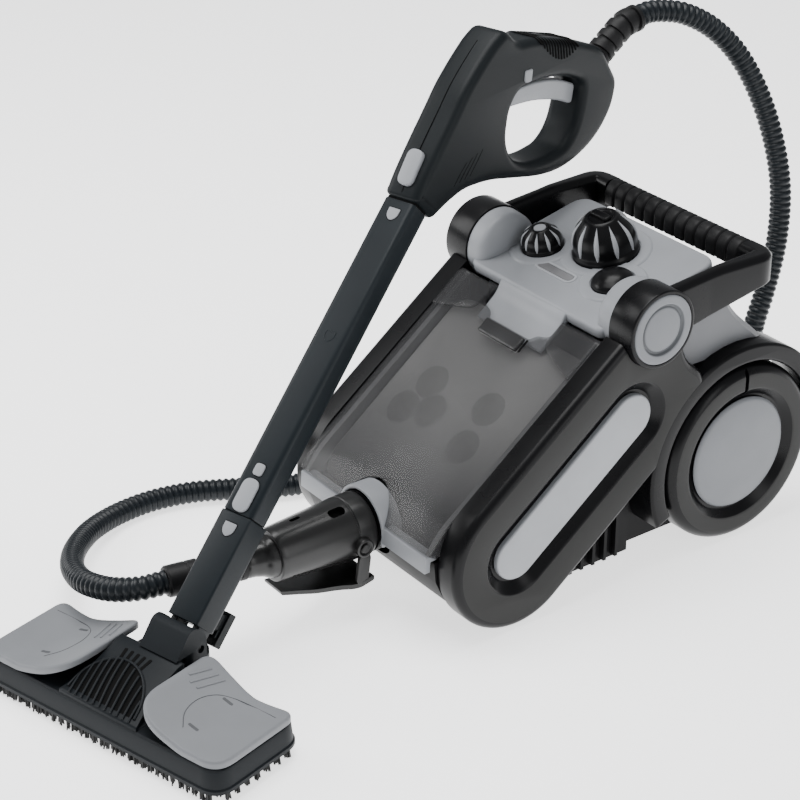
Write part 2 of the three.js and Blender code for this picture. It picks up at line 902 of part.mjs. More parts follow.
function plugLatch() {
  const ear = slabX(
    capsule([LATCH.y, LATCH.z], [LATCH.y, 56], 9),
    PLUG.backRadius + 1,
    PLUG.backRadius + 5,
    { curveSegments: 7 },
  );
  const plate = slabX(
    outline([
      [-300, 46],
      [-352, 40, 30],
      [-398, 52, 10],
      [-398, 56],
      [-352, 45.5, 30],
      [-300, 52],
    ]),
    -PLUG.backRadius - 5,
    PLUG.backRadius + 5,
    { curveSegments: 4 },
  );
  const tapered = keepInside(
    plate,
    slab(
      outline([
        [-41, -290],
        [41, -290],
        [41, -312, 6],
        [16, -335, 10],
        [15, -400, 8],
        [-15, -400, 8],
        [-16, -335, 10],
        [-41, -312, 6],
      ]),
      20,
      100,
    ),
  );
  const hole = slabX(disc(LATCH.y, LATCH.z, 5.4), -50, 50, { curveSegments: 7 });
  return cut(fuse(tapered, ear, mirrorX(ear)), hole);
}

// A ribbed sleeve along +Z.
function ribbedSleeve(length, startRadius, endRadius, ribs, bore = 0) {
  const profile = [[bore, 0]];
  for (let i = 0; i < ribs; i += 1) {
    const from = (length * i) / ribs;
    const radius = startRadius + ((endRadius - startRadius) * i) / (ribs - 1);
    profile.push([radius, from]);
    profile.push([radius, from + (length / ribs) * 0.62]);
    profile.push([radius - 2.2, from + (length / ribs) * 0.68]);
    profile.push([radius - 2.2, from + (length / ribs) * 0.96]);
  }
  profile.push([endRadius - 2.2, length]);
  profile.push([bore, length]);
  if (bore) profile.push([bore, 0]);
  return turned(profile, 12);
}

// Turns a piece along +Z so that it runs from one point towards another.
function aim(geometry, from, to) {
  const start = new THREE.Vector3(...from);
  const heading = new THREE.Vector3(...to).sub(start).normalize();
  const turn = new THREE.Quaternion().setFromUnitVectors(new THREE.Vector3(0, 0, 1), heading);
  return geometry.applyQuaternion(turn).translate(start.x, start.y, start.z);
}

// ---- hose -----------------------------------------------------------------------------------------------
const HOSE_ROUTE = [
  [-20.1, -513.6, 93],
  [-24.4, -538, 93],
  [-46, -558, 88],
  [-86, -566, 78],
  [-132, -556, 64],
  [-180, -533, 48],
  [-226, -500, 32],
  [-262, -462, 20],
  [-282, -420, 14],
  [-286, -376, 13],
  [-276, -330, 13],
  [-256, -290, 13],
  [-232, -250, 13],
  [-212, -200, 13],
  [-198, -120, 13],
  [-192, -40, 13],
  [-192, 40, 13],
  [-192, 120, 13],
  [-190, 200, 13],
  [-176, 262, 13],
  [-138, 304, 14],
  [-92, 322, 32],
  [-60, 326, 76],
  [-47, 326, 132],
  [-45, 336, 170],
  [-44, 348, 232],
  [-49, 350, 306],
  [-70, 338, 389],
  [-93.5, 315, 451],
  [-110.5, 284, 488],
  [-123, 250, 508],
  [-131, 228, 513],
  [-135, 209, 514.5],
  [-135.4, 191, 511.8],
];

const BOOT_ROUTE = [
  [-130.8, 128.6, 477.4],
  [-133, 138, 484.2],
  [-133.6, 153, 495.5],
  [-134.6, 171, 507.6],
  [-135.4, 190, 511.5],
];

// A round tube with flat ends along a route.
function tubeAlong(points, radius, sides, steps) {
  const section = new THREE.Shape();
  for (let i = 0; i < sides; i += 1) {
    const angle = (2 * Math.PI * i) / sides;
    const corner = [radius * Math.cos(angle), radius * Math.sin(angle)];
    if (i === 0) section.moveTo(...corner);
    else section.lineTo(...corner);
  }
  section.closePath();
  const route = new THREE.CatmullRomCurve3(points.map((p) => new THREE.Vector3(...p)));
  return new THREE.ExtrudeGeometry(section, { steps, extrudePath: route, bevelEnabled: false });
}

// ---- wand, in a frame with x across and y forwards from the brush -----------------------------------
const wand = new THREE.Group();
wand.position.set(WAND.x, WAND.y, 0);
wand.rotation.z = THREE.MathUtils.degToRad(WAND.turn);
canister.add(wand);

const tube = new THREE.Group(); // z up the tube, -y out of its front face
tube.position.set(0, 0, WAND.foot);
tube.rotation.x = THREE.MathUtils.degToRad(WAND.pitch - 90);
wand.add(tube);

const pitch = THREE.MathUtils.degToRad(WAND.pitch);
const pivot = {
  y: NECK.pivot * Math.cos(pitch),
  z: WAND.foot + NECK.pivot * Math.sin(pitch),
};

const tubeSection = (front, back) =>
  outline([
    [-TUBE.halfWidth, -TUBE.halfDepth, front],
    [TUBE.halfWidth, -TUBE.halfDepth, front],
    [TUBE.halfWidth, TUBE.halfDepth, back],
    [-TUBE.halfWidth, TUBE.halfDepth, back],
  ]);

// A pocket in the front face of the tube for a button of this outline.
const frontPocket = (shape, along, depth) =>
  slab(shape, 0, depth + 5)
    .rotateX(Math.PI / 2)
    .translate(0, -TUBE.halfDepth + depth, along);

const OVAL = { halfWidth: 10, halfLength: 18, along: 148 };
const SLIDER = { half: 6, along: 180 };
const CATCH = { half: 6.5, lower: 112, upper: 471 };

function upperTube() {
  const body = slab(tubeSection(5, 17), TUBE.joint + GAP, TUBE.top - GAP, { curveSegments: 5 });
  return cut(
    body,
    slab(disc(0, 0, TUBE.bore), 100, 520, { curveSegments: 9 }),
    frontPocket(rectangle(OVAL.halfWidth + 0.5, OVAL.halfLength + 0.5, 14), OVAL.along, 4.2),
    frontPocket(rectangle(SLIDER.half + 0.5, SLIDER.half + 6, 5), SLIDER.along + 2, 3),
    frontPocket(rectangle(CATCH.half + 0.5, CATCH.half + 0.5, 6), CATCH.upper, 4.2),
  );
}

function lowerNeck() {
  const body = slab(tubeSection(2.5, 7), NECK.bottom, TUBE.joint, { curveSegments: 3 });
  const spigot = slab(disc(0, 0, TUBE.bore - GAP), 100, TUBE.joint + 8, { curveSegments: 9 });
  const ear = (x) =>
    slabX(capsule([0, NECK.pivot], [0, NECK.bottom + 4], 10.5), x, x + 8, { curveSegments: 6 });
  return cut(
    fuse(body, spigot, ear(10.3), ear(-18.3)),
    frontPocket(rectangle(CATCH.half + 0.5, CATCH.half + 0.5, 6), CATCH.lower, 4.2),
    slabX(disc(0, NECK.pivot, 4.3), -30, 30, { curveSegments: 7 }),
  );
}

function neckPin() {
  return slabX(disc(0, NECK.pivot, 4), -18, 18, { curveSegments: 7 });
}

function parkingHook() {
  const plate = block(-13, 13, 34, 45, 5, 42);
  const webs = block(-10, 10, TUBE.halfDepth + GAP, 35, 20, 38);
  return fuse(plate, webs);
}

// A button that stands in a pocket of the front face.
const frontButton = (shape, along, depth, proud) =>
  slab(shape, -depth, proud, { bevel: 0.8 })
    .rotateX(Math.PI / 2)
    .translate(0, -TUBE.halfDepth, along);

// ---- steam gun, outline in (y, z) of the wand frame ------------------------------------------------
const GUN_OUTLINE = [
  [338, 426],
  [351, 445, 20],
  [375, 473, 20],
  [401, 501, 20],
  [419, 522, 20],
  [444, 543, 20],
  [466, 559, 14],
  [484, 567, 10],
  [496, 561, 8],
  [508, 547, 8],
  [549, 543, 30],
  [592, 530, 30],
  [632, 515, 30],
  [667, 500, 6],
  [699, 454, 6],
  [692, 426, 20],
  [672, 404, 20],
  [648, 390, 20],
  [616, 381, 30],
  [586, 379, 30],
  [552, 384, 30],
  [508, 396, 30],
  [464, 408, 30],
  [420, 412, 20],
  [392, 406, 20],
  [366, 397],
];
const FINGER_HOLE = [
  [497, 478, 10],
  [491, 446, 14],
  [502, 422, 16],
  [526, 408, 20],
  [560, 402, 30],
  [598, 404, 30],
  [618, 420, 20],
  [627, 444, 16],
  [630, 466, 8],
  [600, 484, 20],
  [556, 494, 20],
  [512, 494, 10],
];
const TRIGGER = { pivotY: 504, pivotZ: 484, halfWidth: 8.5 };

function gunBody() {
  const body = slabX(outline(GUN_OUTLINE), -GUN.halfWidth, GUN.halfWidth, { curveSegments: 2 });
  const hole = slabX(outline(FINGER_HOLE), -60, 60, { curveSegments: 4 });
  const slot = slabX(
    outline([
      [494, 470],
      [494, 494],
      [520, 503],
      [560, 503],
      [606, 494],
      [650, 482],
      [654, 446],
      [632, 436],
      [600, 440],
    ]),
    -TRIGGER.halfWidth - 1,
    TRIGGER.halfWidth + 1,
  );
  const spigot = aim(
    slab(disc(0, 0, TUBE.bore - GAP), TUBE.top - 8, TUBE.top + 22, { curveSegments: 9 }),
    [0, 0, WAND.foot],
    [0, Math.cos(pitch), WAND.foot + Math.sin(pitch)],
  );
  const lockHole = slabX(rectangle(7.5, 8, 4), GUN.halfWidth - 11, 40).translate(0, 524, 508);
  const releasePocket = gunFront(slab(rectangle(10.5, 20.5, 14), -4, 20));
  return cut(fuse(cut(body, hole), spigot), slot, lockHole, releasePocket);
}

// Puts a piece that stands along +Z onto the gun's sloping front edge.
function gunFront(geometry) {
  const lean = Math.atan2(475 - 425, 375 - 337);
  return geometry.rotateX(Math.PI / 2).rotateX(lean - Math.PI / 2).translate(0, 357, 452);
}

function gunTrigger() {
  const bar = outline([
    [500, 491, 4],
    [556, 490, 20],
    [600, 480, 20],
    [640, 462, 6],
    [642, 452, 5],
    [628, 443, 4],
    [600, 457, 20],
    [556, 468, 20],
    [500, 474, 4],
  ]);
  return slabX(bar, -TRIGGER.halfWidth, TRIGGER.halfWidth, { bevel: 1.5, curveSegments: 3 });
}

function gunLock() {
  return slabX(rectangle(7, 7.5, 4), GUN.halfWidth - 7.5, GUN.halfWidth + 2, { bevel: 1 }).translate(
    0,
    524,
    508,
  );
}

// ---- floor brush -----------------------------------------------------------------------------------
function brushBase() {
  const halfX = BRUSH.length / 2;
  const halfY = BRUSH.depth / 2;
  const body = slab(rectangle(halfX, halfY, 20), BRUSH.bottom, BRUSH.top, {
    bevel: 3,
    curveSegments: 6,
  });
  const flare = slab(rectangle(halfX + BRUSH.flare, halfY + BRUSH.flare, 20), BRUSH.bottom, 17, {
    bevel: 1,
    curveSegments: 6,
  });
  const hub = slabX(
    outline([
      [HUB.front, BRUSH.top - 4],
      [HUB.front, BRUSH.top + 4, 4],
      [HUB.step - 5, HUB.top, 4],
      [HUB.step, HUB.top - 2],
      [HUB.step, HUB.seat],
      [HUB.back, HUB.seat, 5],
      [HUB.back, BRUSH.top - 4],
    ]),
    -HUB.flare,
    HUB.flare,
    { bevel: 3, curveSegments: 3 },
  );
  const hubPlan = outline([
    [-HUB.flare, HUB.front - 1],
    [HUB.flare, HUB.front - 1],
    [HUB.half, HUB.waist, 20],
    [HUB.half, HUB.back + 1],
    [-HUB.half, HUB.back + 1],
    [-HUB.half, HUB.waist, 20],
  ]);
  const waisted = keepInside(hub, slab(hubPlan, 30, 80, { curveSegments: 3 })).translate(0, -BRUSH.y, 0);
  const inletHole = slab(disc(-BRUSH.x, pivot.y - BRUSH.y, 6.3), 20, 60, { curveSegments: 8 });
  return cut(fuse(body, flare, waisted), inletHole).translate(BRUSH.x, BRUSH.y, 0);
}

function brushKnuckle() {
  const plate = slab(disc(0, pivot.y, TURNTABLE.radius), TURNTABLE.bottom, TURNTABLE.top, {
    bevel: 1,
    curveSegments: 10,
  });
  const stem = slab(disc(0, pivot.y, 6), 24, 52, { curveSegments: 8 });
  const lug = slabX(capsule([pivot.y, pivot.z], [pivot.y, TURNTABLE.top], 9.5), -9.5, 9.5, {
    curveSegments: 6,
  });
  const above = keepInside(lug, block(-40, 40, -80, 80, TURNTABLE.top - 1, 200));
  const outer = slabX(hoodOutline(), -25, 25, { curveSegments: 3 });
  const opening = slabX(disc(pivot.y, pivot.z, 23.4), -20.6, 20.6, { curveSegments: 14 });
  const behind = block(-20.6, 20.6, pivot.y - 6, 40, TURNTABLE.top, 120);
  const lower = slab(disc(0, pivot.y, 27.5), 50, HUB.top + 0.6, { curveSegments: 12 });
  const overhang = block(-40, 40, -60, 60, HUB.top + 0.6, 120);
  const hood = cut(keepInside(outer, fuse(lower, overhang)), opening, behind);
  return cut(
    fuse(plate, stem, above, hood),
    slabX(disc(pivot.y, pivot.z, 4.3), -30, 30, { curveSegments: 7 }),
  );
}

// The cover round the neck's foot, with a ramp in front and a cheek on each side.
const hoodOutline = () =>
  outline([
    [pivot.y - 35, HUB.top + 0.6],
    [pivot.y - 14, 95, 10],
    [pivot.y - 5, 95, 6],
    [pivot.y + 8, 82, 6],
    [pivot.y + 8, TURNTABLE.top - 1],
    [pivot.y - 24, TURNTABLE.top - 1],
    [pivot.y - 24, HUB.top + 0.6],
  ]);

// A clamp pad that rises towards the hub, so that its inner end can be pressed down.
function brushPad() {
  const plan = outline([
    [PAD.inner, -112, 38],
    [PAD.outer, -112, 22],
    [PAD.outer, -2, 14],
    [104, -9, 20],
    [PAD.inner, 1, 14],
  ]);
  const low = BRUSH.top + GAP;
  const profile = outline([
    [PAD.inner - 5, low + PAD.rise],
    [PAD.pivot, low],
    [PAD.outer + 5, low],
    [PAD.outer + 5, low + PAD.thickness],
    [PAD.pivot, low + PAD.thickness, 35],
    [PAD.inner - 5, low + PAD.rise + PAD.thickness],
  ]);
  return keepInside(
    slab(plan, 30, 70, { curveSegments: 4 }),
    slabFront(profile, -20, 130, { curveSegments: 3 }),
  );
}

function bristleField() {
  return slab(rectangle(BRUSH.length / 2 - 4, BRUSH.depth / 2 - 4, 16), 0, BRUSH.bottom - GAP, {
    curveSegments: 4,
  }).translate(BRUSH.x, BRUSH.y, 0);
}

// ---- assembly ---------------------------------------------------------------------------------------------
part(canister, "base_pan", basePan(), blackPlastic);
part(canister, "rear_housing", rearHousing(), darkGrey);
pair(canister, "side_panel", sidePanel(), blackPlastic);
pair(canister, "side_inlay", sideInlay(), silver);
pair(canister, "wheel_arch", wheelArch(), blackPlastic);
pair(canister, "wheel", wheel(), satinBlack);
pair(canister, "hub_disc", hubDisc(), silver);
pair(canister, "drum_disc", drumDisc(), silver);
part(canister, "castor_fork", castorFork(), satinBlack);
part(canister, "castor_wheel", castorWheel(), rubber);
part(canister, "rear_axle", slabX(disc(WHEEL.y, WHEEL.z, 6), -136, 136, { curveSegments: 8 }), steel);
part(canister, "carry_handle", carryHandle(), blackPlastic);
part(canister, "handle_grip", handleGrip(), rubber);
part(canister, "front_cover", frontCover(), smoky);
part(canister, "cover_latch", coverLatch(), blackPlastic);
part(canister, "front_trim", frontTrim(), silver);
part(canister, "hose_socket", hoseSocket(), satinBlack);
part(canister, "water_tank", waterTank(), darkGrey);
part(canister, "water_pump", waterPump(), steel);
part(canister, "steam_pipe", tubeAlong(STEAM_PIPE_ROUTE, 4, 6, 16), steel);
part(canister, "control_board", controlBoard(), circuitGreen);

part(deck, "control_panel", controlPanel(), silver);
part(deck, "indicator_window", indicatorWindow(), smoky);
part(deck, "boiler_cap", boilerCap(), blackPlastic);
part(deck, "steam_dial", steamDial(), blackPlastic);
part(deck, "power_button", powerButton(), blackPlastic);
part(deck, "steam_boiler", steamBoiler(), steel);
part(deck, "heater_plate", heaterPlate(), steel);

part(canister, "hose_plug", hosePlug(), satinBlack);
part(canister, "plug_latch", plugLatch(), satinBlack);
part(
  canister,
  "hose_cuff",
  aim(ribbedSleeve(CUFF_LENGTH, 18, 16.5, 5).translate(0, 0, PLUG.noseLength + GAP), NOSE_FOOT, CUFF_END),
  rubber,
);
part(canister, "hose", tubeAlong(HOSE_ROUTE, HOSE.radius, HOSE.sides, HOSE.steps), satinBlack);
part(canister, "gun_boot", tubeAlong(BOOT_ROUTE, 15.5, 10, 7), rubber);

part(tube, "upper_tube", upperTube(), satinBlack);
part(tube, "lower_neck", lowerNeck(), satinBlack);
part(tube, "neck_pin", neckPin(), steel);
part(tube, "parking_hook", parkingHook(), blackPlastic);
part(
  tube,
  "tube_release",
  frontButton(rectangle(OVAL.halfWidth, OVAL.halfLength, 14), OVAL.along, 1, 2.4),
  silver,
);
part(
  tube,
  "tube_slider",
  frontButton(rectangle(SLIDER.half, SLIDER.half, 4), SLIDER.along, 2.6, 1.4),
  silver,
);
part(
  tube,
  "upper_catch",
  frontButton(rectangle(CATCH.half, CATCH.half, 6), CATCH.upper, 1, 1.2),
  silver,
);
part(
  tube,
  "lower_catch",
  frontButton(rectangle(CATCH.half, CATCH.half, 6), CATCH.lower, 1, 1.2),
  silver,
);

part(wand, "gun_body", gunBody(), satinBlack);
part(wand, "gun_trigger", gunTrigger(), silver);
part(wand, "gun_lock", gunLock(), silver);
part(wand, "gun_release", gunFront(slab(rectangle(10, 20, 14), 0, 4.4, { bevel: 1 })), silver);
part(wand, "brush_knuckle", brushKnuckle(), satinBlack);
part(wand, "brush_base", brushBase(), satinBlack);
part(wand, "brush_bristles", bristleField(), rubber);
part(wand, "right_brush_pad", brushPad(), padGrey);
part(
  wand,
  "left_brush_pad",
  fromSolid(toSolid(brushPad().scale(-1, 1, 1).translate(2 * BRUSH.x, 0, 0))),
  padGrey,
);

export default steamCleaner;
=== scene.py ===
"""Looks of a canister steam cleaner: camera, light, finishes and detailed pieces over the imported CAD."""

import json
import math
import random

import bmesh
import bpy
from mathutils import Matrix, Vector
from mathutils.geometry import tessellate_polygon


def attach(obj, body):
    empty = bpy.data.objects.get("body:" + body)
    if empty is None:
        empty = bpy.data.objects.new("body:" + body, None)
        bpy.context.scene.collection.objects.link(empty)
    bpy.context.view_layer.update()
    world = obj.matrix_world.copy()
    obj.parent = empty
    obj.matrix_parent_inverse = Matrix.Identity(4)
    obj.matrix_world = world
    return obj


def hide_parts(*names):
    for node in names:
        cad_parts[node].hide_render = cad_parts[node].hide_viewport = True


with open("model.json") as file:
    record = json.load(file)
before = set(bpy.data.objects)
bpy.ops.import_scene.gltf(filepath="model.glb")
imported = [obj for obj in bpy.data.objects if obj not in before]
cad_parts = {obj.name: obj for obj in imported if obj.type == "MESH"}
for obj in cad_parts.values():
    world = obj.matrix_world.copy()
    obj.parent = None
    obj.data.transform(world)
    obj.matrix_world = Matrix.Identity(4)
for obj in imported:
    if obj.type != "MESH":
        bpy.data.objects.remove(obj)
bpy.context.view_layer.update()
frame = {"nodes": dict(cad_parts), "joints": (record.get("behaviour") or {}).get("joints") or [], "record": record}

record = frame["record"]
BODY_OF = {n: body for body, nodes in record["behaviour"]["bodies"].items() for n in nodes}
JOINTS = {j["name"]: j for j in frame["joints"]}

# ---- frames, all in millimetres ----
WHEEL = Vector((126, 121, 104.5))  # middle of the right wheel in machine coordinates
wheel_at = Vector(JOINTS["right_wheel_spin"]["pos_m"]) * 1000
MACHINE = Matrix.Scale(0.001, 4) @ Matrix.Translation(wheel_at - WHEEL)
DECK = MACHINE @ Matrix.Translation((0, -61, 293)) @ Matrix.Rotation(math.radians(12.8), 4, "X")
WAND = MACHINE @ Matrix.Translation((46.2, -532, 0)) @ Matrix.Rotation(math.radians(15), 4, "Z")
PITCH = math.radians(44.1)
TUBE = WAND @ Matrix.Translation((0, 0, 71)) @ Matrix.Rotation(PITCH - math.pi / 2, 4, "X")
MIRROR = Matrix.Diagonal((-1, 1, 1, 1))
# Bases for outlines: (y, z) run along X, and (x, z) run along -Y.
ALONG_X = Matrix(((0, 0, 1, 0), (1, 0, 0, 0), (0, 1, 0, 0), (0, 0, 0, 1)))
ALONG_FRONT = Matrix(((1, 0, 0, 0), (0, 0, -1, 0), (0, 1, 0, 0), (0, 0, 0, 1)))
SIDE_ON = MACHINE @ ALONG_X
FRONT_ON = MACHINE @ ALONG_FRONT
SIDES = ((MACHINE, "right"), (MACHINE @ MIRROR, "left"))


# ---- finishes ----
def finish(name, color, roughness, grain=0.0, grain_size=0.6, metallic=0.0, cloud=0.05, specular=0.3):
    """A procedural finish: a slightly uneven colour and gloss, with a fine grain."""
    material = bpy.data.materials.new(name)
    material.use_nodes = True
    nodes, links = material.node_tree.nodes, material.node_tree.links
    shader = nodes["Principled BSDF"]
    coords = nodes.new("ShaderNodeTexCoord")
    patches = nodes.new("ShaderNodeTexNoise")
    patches.inputs["Scale"].default_value = 18
    patches.inputs["Detail"].default_value = 3
    tint = nodes.new("ShaderNodeValToRGB")
    tint.color_ramp.elements[0].position = 0.3
    tint.color_ramp.elements[1].position = 0.7
    tint.color_ramp.elements[0].color = (*[c * (1 - cloud) for c in color], 1)
    tint.color_ramp.elements[1].color = (*[c * (1 + cloud) for c in color], 1)
    gloss = nodes.new("ShaderNodeMapRange")
    gloss.inputs["To Min"].default_value = max(0.02, roughness - 0.04)
    gloss.inputs["To Max"].default_value = roughness + 0.04
    links.new(coords.outputs["Object"], patches.inputs["Vector"])
    links.new(patches.outputs["Fac"], tint.inputs["Fac"])
    links.new(patches.outputs["Fac"], gloss.inputs["Value"])
    links.new(tint.outputs["Color"], shader.inputs["Base Color"])
    links.new(gloss.outputs["Result"], shader.inputs["Roughness"])
    shader.inputs["Metallic"].default_value = metallic
    shader.inputs["Specular IOR Level"].default_value = specular
    if grain:
        fine = nodes.new("ShaderNodeTexNoise")
        fine.inputs["Scale"].default_value = 1000 / grain_size
        fine.inputs["Detail"].default_value = 2
        bump = nodes.new("ShaderNodeBump")
        bump.inputs["Strength"].default_value = grain
        bump.inputs["Distance"].default_value = 0.0004
        links.new(coords.outputs["Object"], fine.inputs["Vector"])
        links.new(fine.outputs["Fac"], bump.inputs["Height"])
        links.new(bump.outputs["Normal"], shader.inputs["Normal"])
    return material


def clear_finish(name, color, alpha):
    """Smoky clear plastic: mostly seen through, with its own sheen."""
    material = finish(name, color, 0.2, cloud=0.1)
    material.node_tree.nodes["Principled BSDF"].inputs["Alpha"].default_value = alpha
    return material


def shaded_finish(name, low_color, high_color, low, high, roughness):
    """A finish that goes from one colour to another up the piece, between two heights in metres; used for painted
    shade that darkens the lower part.
    """
    material = finish(name, high_color, roughness, specular=0.08)
    nodes, links = material.node_tree.nodes, material.node_tree.links
    coords = nodes["Texture Coordinate"]
    split = nodes.new("ShaderNodeSeparateXYZ")
    span = nodes.new("ShaderNodeMapRange")
    span.inputs["From Min"].default_value = low
    span.inputs["From Max"].default_value = high
    ramp = nodes.new("ShaderNodeValToRGB")
    ramp.color_ramp.elements[0].color = (*low_color, 1)
    ramp.color_ramp.elements[1].color = (*high_color, 1)
    links.new(coords.outputs["Object"], split.inputs["Vector"])
    links.new(split.outputs["Z"], span.inputs["Value"])
    links.new(span.outputs["Result"], ramp.inputs["Fac"])
    links.new(ramp.outputs["Color"], nodes["Principled BSDF"].inputs["Base Color"])
    return material


BLACK_GLOSS = finish("black_gloss", (0.0035, 0.0035, 0.004), 0.28, specular=0.16)
PANEL_GREY = finish("panel_grey", (0.026, 0.026, 0.0255), 0.45, grain=0.03, specular=0.1)
WHEEL_GREY = finish("wheel_grey", (0.03, 0.03, 0.0295), 0.45, grain=0.03, specular=0.1)
SATIN_BLACK = finish("satin_black", (0.006, 0.0078, 0.009), 0.42, grain=0.1, specular=0.13)
TUBE_BLACK = finish("tube_black", (0.0075, 0.0105, 0.013), 0.38, grain=0.08, specular=0.15)
PLUG_BLACK = finish("plug_black", (0.009, 0.009, 0.009), 0.3, grain=0.04, specular=0.4)
BRUSH_BLACK = finish("brush_black", (0.008, 0.010, 0.012), 0.45, grain=0.12, specular=0.12)
PAN_BLACK = finish("pan_black", (0.004, 0.004, 0.0045), 0.45, specular=0.12)
HOUSING_GREY = finish("housing_grey", (0.13, 0.134, 0.142), 0.4, grain=0.04)
SILVER = finish("silver", (0.245, 0.254, 0.27), 0.4, grain=0.03)
SILVER_LIGHT = finish("silver_light", (0.31, 0.32, 0.338), 0.38, grain=0.02)
HUB_GREY = finish("hub_grey", (0.17, 0.177, 0.189), 0.42, grain=0.03)
SILVER_DARK = finish("silver_dark", (0.085, 0.09, 0.096), 0.45, grain=0.02)
PAD_GREY = finish("pad_grey", (0.175, 0.182, 0.193), 0.5, grain=0.1)
PAD_LINE = finish("pad_line", (0.07, 0.073, 0.078), 0.55, grain=0.1)
RUBBER = finish("rubber", (0.006, 0.006, 0.0065), 0.5, grain=0.2, specular=0.2)
HOSE_SLATE = finish("hose_slate", (0.0075, 0.010, 0.0125), 0.36, grain=0.05, specular=0.22)
VOID_BLACK = finish("void_black", (0.0015, 0.0015, 0.0015), 0.8, grain=0.05, specular=0.1)
BRISTLE = finish("bristle", (0.005, 0.005, 0.005), 0.55, grain=0.1)
STEEL = finish("steel", (0.55, 0.55, 0.56), 0.3, metallic=1, grain=0.05)
CIRCUIT = finish("circuit", (0.01, 0.09, 0.03), 0.4, grain=0.1, cloud=0.3)
SMOKY = clear_finish("smoky_clear", (0.05, 0.05, 0.052), 0.34)
SMOKY_EDGE = clear_finish("smoky_edge", (0.04, 0.04, 0.042), 0.5)
SMOKY_TAB = clear_finish("smoky_tab", (0.03, 0.03, 0.031), 0.88)
# The tank's grey is painted darker towards the bottom: painted shade, not a colour of the tank.
TANK_GREY_PAINTED_SHADE = shaded_finish("tank_grey_painted_shade", (0.03, 0.03, 0.031), (0.36, 0.355, 0.35), 0.125, 0.2, 0.42)
# The dimples' finish is darker still: painted shade in the hollows.
TANK_DIMPLE_PAINTED_SHADE = shaded_finish("tank_dimple_painted_shade", (0.015, 0.015, 0.0155), (0.27, 0.266, 0.262), 0.125, 0.2, 0.35)
LINER_GREY = finish("liner_grey", (0.16, 0.16, 0.162), 0.55, specular=0.2)
SPECKLED = finish("speckled", (0.13, 0.13, 0.135), 0.4, grain=0.6, grain_size=1.2, cloud=0.4)


# ---- outlines ----
def rounded(corners, radius=0.0, closed=True, step=1.5):
    """A line through corners [x, y] or [x, y, own radius], each corner turned into a smooth curve."""
    points = []
    count = len(corners)
    for i, corner in enumerate(corners):
        at = Vector(corner[:2])
        reach = corner[2] if len(corner) > 2 else radius
        if not closed and i in (0, count - 1) or reach == 0:
            points.append(at)
            continue
        before = Vector(corners[i - 1][:2]) - at
        after = Vector(corners[(i + 1) % count][:2]) - at
        reach = min(reach, 0.48 * before.length, 0.48 * after.length)
        start, end = at + before.normalized() * reach, at + after.normalized() * reach
        pieces = max(3, math.ceil(1.6 * reach / step))
        for k in range(pieces + 1):
            t = k / pieces
            points.append((1 - t) ** 2 * start + 2 * t * (1 - t) * at + t * t * end)
    return points


def open_line(corners, step=1.5):
    """An open line through corners, for pieces that are turned or swept."""
    return rounded(corners, closed=False, step=step)


def rectangle(half_x, half_y, radius, cx=0.0, cy=0.0):
    low_x, high_x, low_y, high_y = cx - half_x, cx + half_x, cy - half_y, cy + half_y
    return rounded([[low_x, low_y], [high_x, low_y], [high_x, high_y], [low_x, high_y]], radius)


def arc(cx, cy, radius, start, end, count=48):
    """Points of an arc between two angles in degrees."""
    angles = [math.radians(start + (end - start) * i / count) for i in range(count + 1)]
    return [Vector((cx + radius * math.cos(a), cy + radius * math.sin(a))) for a in angles]


def circle(cx, cy, radius, count=96):
    return arc(cx, cy, radius, 0, 360, count)[:-1]


def capsule(a, b, radius, count=32):
    heading = math.degrees(math.atan2(b[1] - a[1], b[0] - a[0]))
    near_end = arc(*a, radius, heading + 90, heading + 270, count)
    return near_end + arc(*b, radius, heading - 90, heading + 90, count)


def counter_clockwise(loop):
    area = sum(a.x * b.y - b.x * a.y for a, b in zip(loop, loop[1:] + loop[:1]))
    return loop if area > 0 else loop[::-1]


def inset(loop, distance):
    """The counter-clockwise loop moved inwards, or outwards when the distance is negative."""
    if distance == 0:
        return list(loop)
    moved = []
    for i, at in enumerate(loop):
        before = (at - loop[i - 1]).normalized()
        after = (loop[(i + 1) % len(loop)] - at).normalized()
        normals = Vector((-before.y, before.x)) + Vector((-after.y, after.x))
        stretch = max(0.35, normals.length_squared / 2)
        moved.append(at + normals * (distance / stretch))
    return moved


# ---- meshes ----
def linked(name, data):
    """A new object in the scene."""
    made = bpy.data.objects.new(name, data)
    bpy.context.scene.collection.objects.link(made)
    return made


def new_object(name, verts, faces, looks, slots=None, smooth=32):
    mesh = bpy.data.meshes.new(name)
    mesh.from_pydata(verts, [], faces)
    for look in looks:
        mesh.materials.append(look)
    if slots:
        mesh.polygons.foreach_set("material_index", slots)
    tidy = bmesh.new()
    tidy.from_mesh(mesh)
    bmesh.ops.remove_doubles(tidy, verts=tidy.verts, dist=2e-6)
    bmesh.ops.dissolve_degenerate(tidy, edges=tidy.edges, dist=1e-7)
    bmesh.ops.recalc_face_normals(tidy, faces=tidy.faces)
    tidy.to_mesh(mesh)
    tidy.free()
    smooth_by_angle(mesh, smooth)
    return linked(name, mesh)


def smooth_by_angle(mesh, degrees):
    mesh.polygons.foreach_set("use_smooth", [True] * len(mesh.polygons))
    mesh.set_sharp_from_angle(angle=math.radians(degrees))


def between(a, b):
    """The faces between two closed rings of vertex numbers."""
    turns = [(i, (i + 1) % len(a)) for i in range(len(a))]
    return [(a[i], a[j], b[j], b[i]) for i, j in turns]


def settle(made, node, *stands_for, slot=None):
    """Lets a piece ride with a CAD node's body, and hides the CAD nodes that it stands for."""
    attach(made, BODY_OF[node])
    if stands_for:
        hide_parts(*stands_for)
    return made


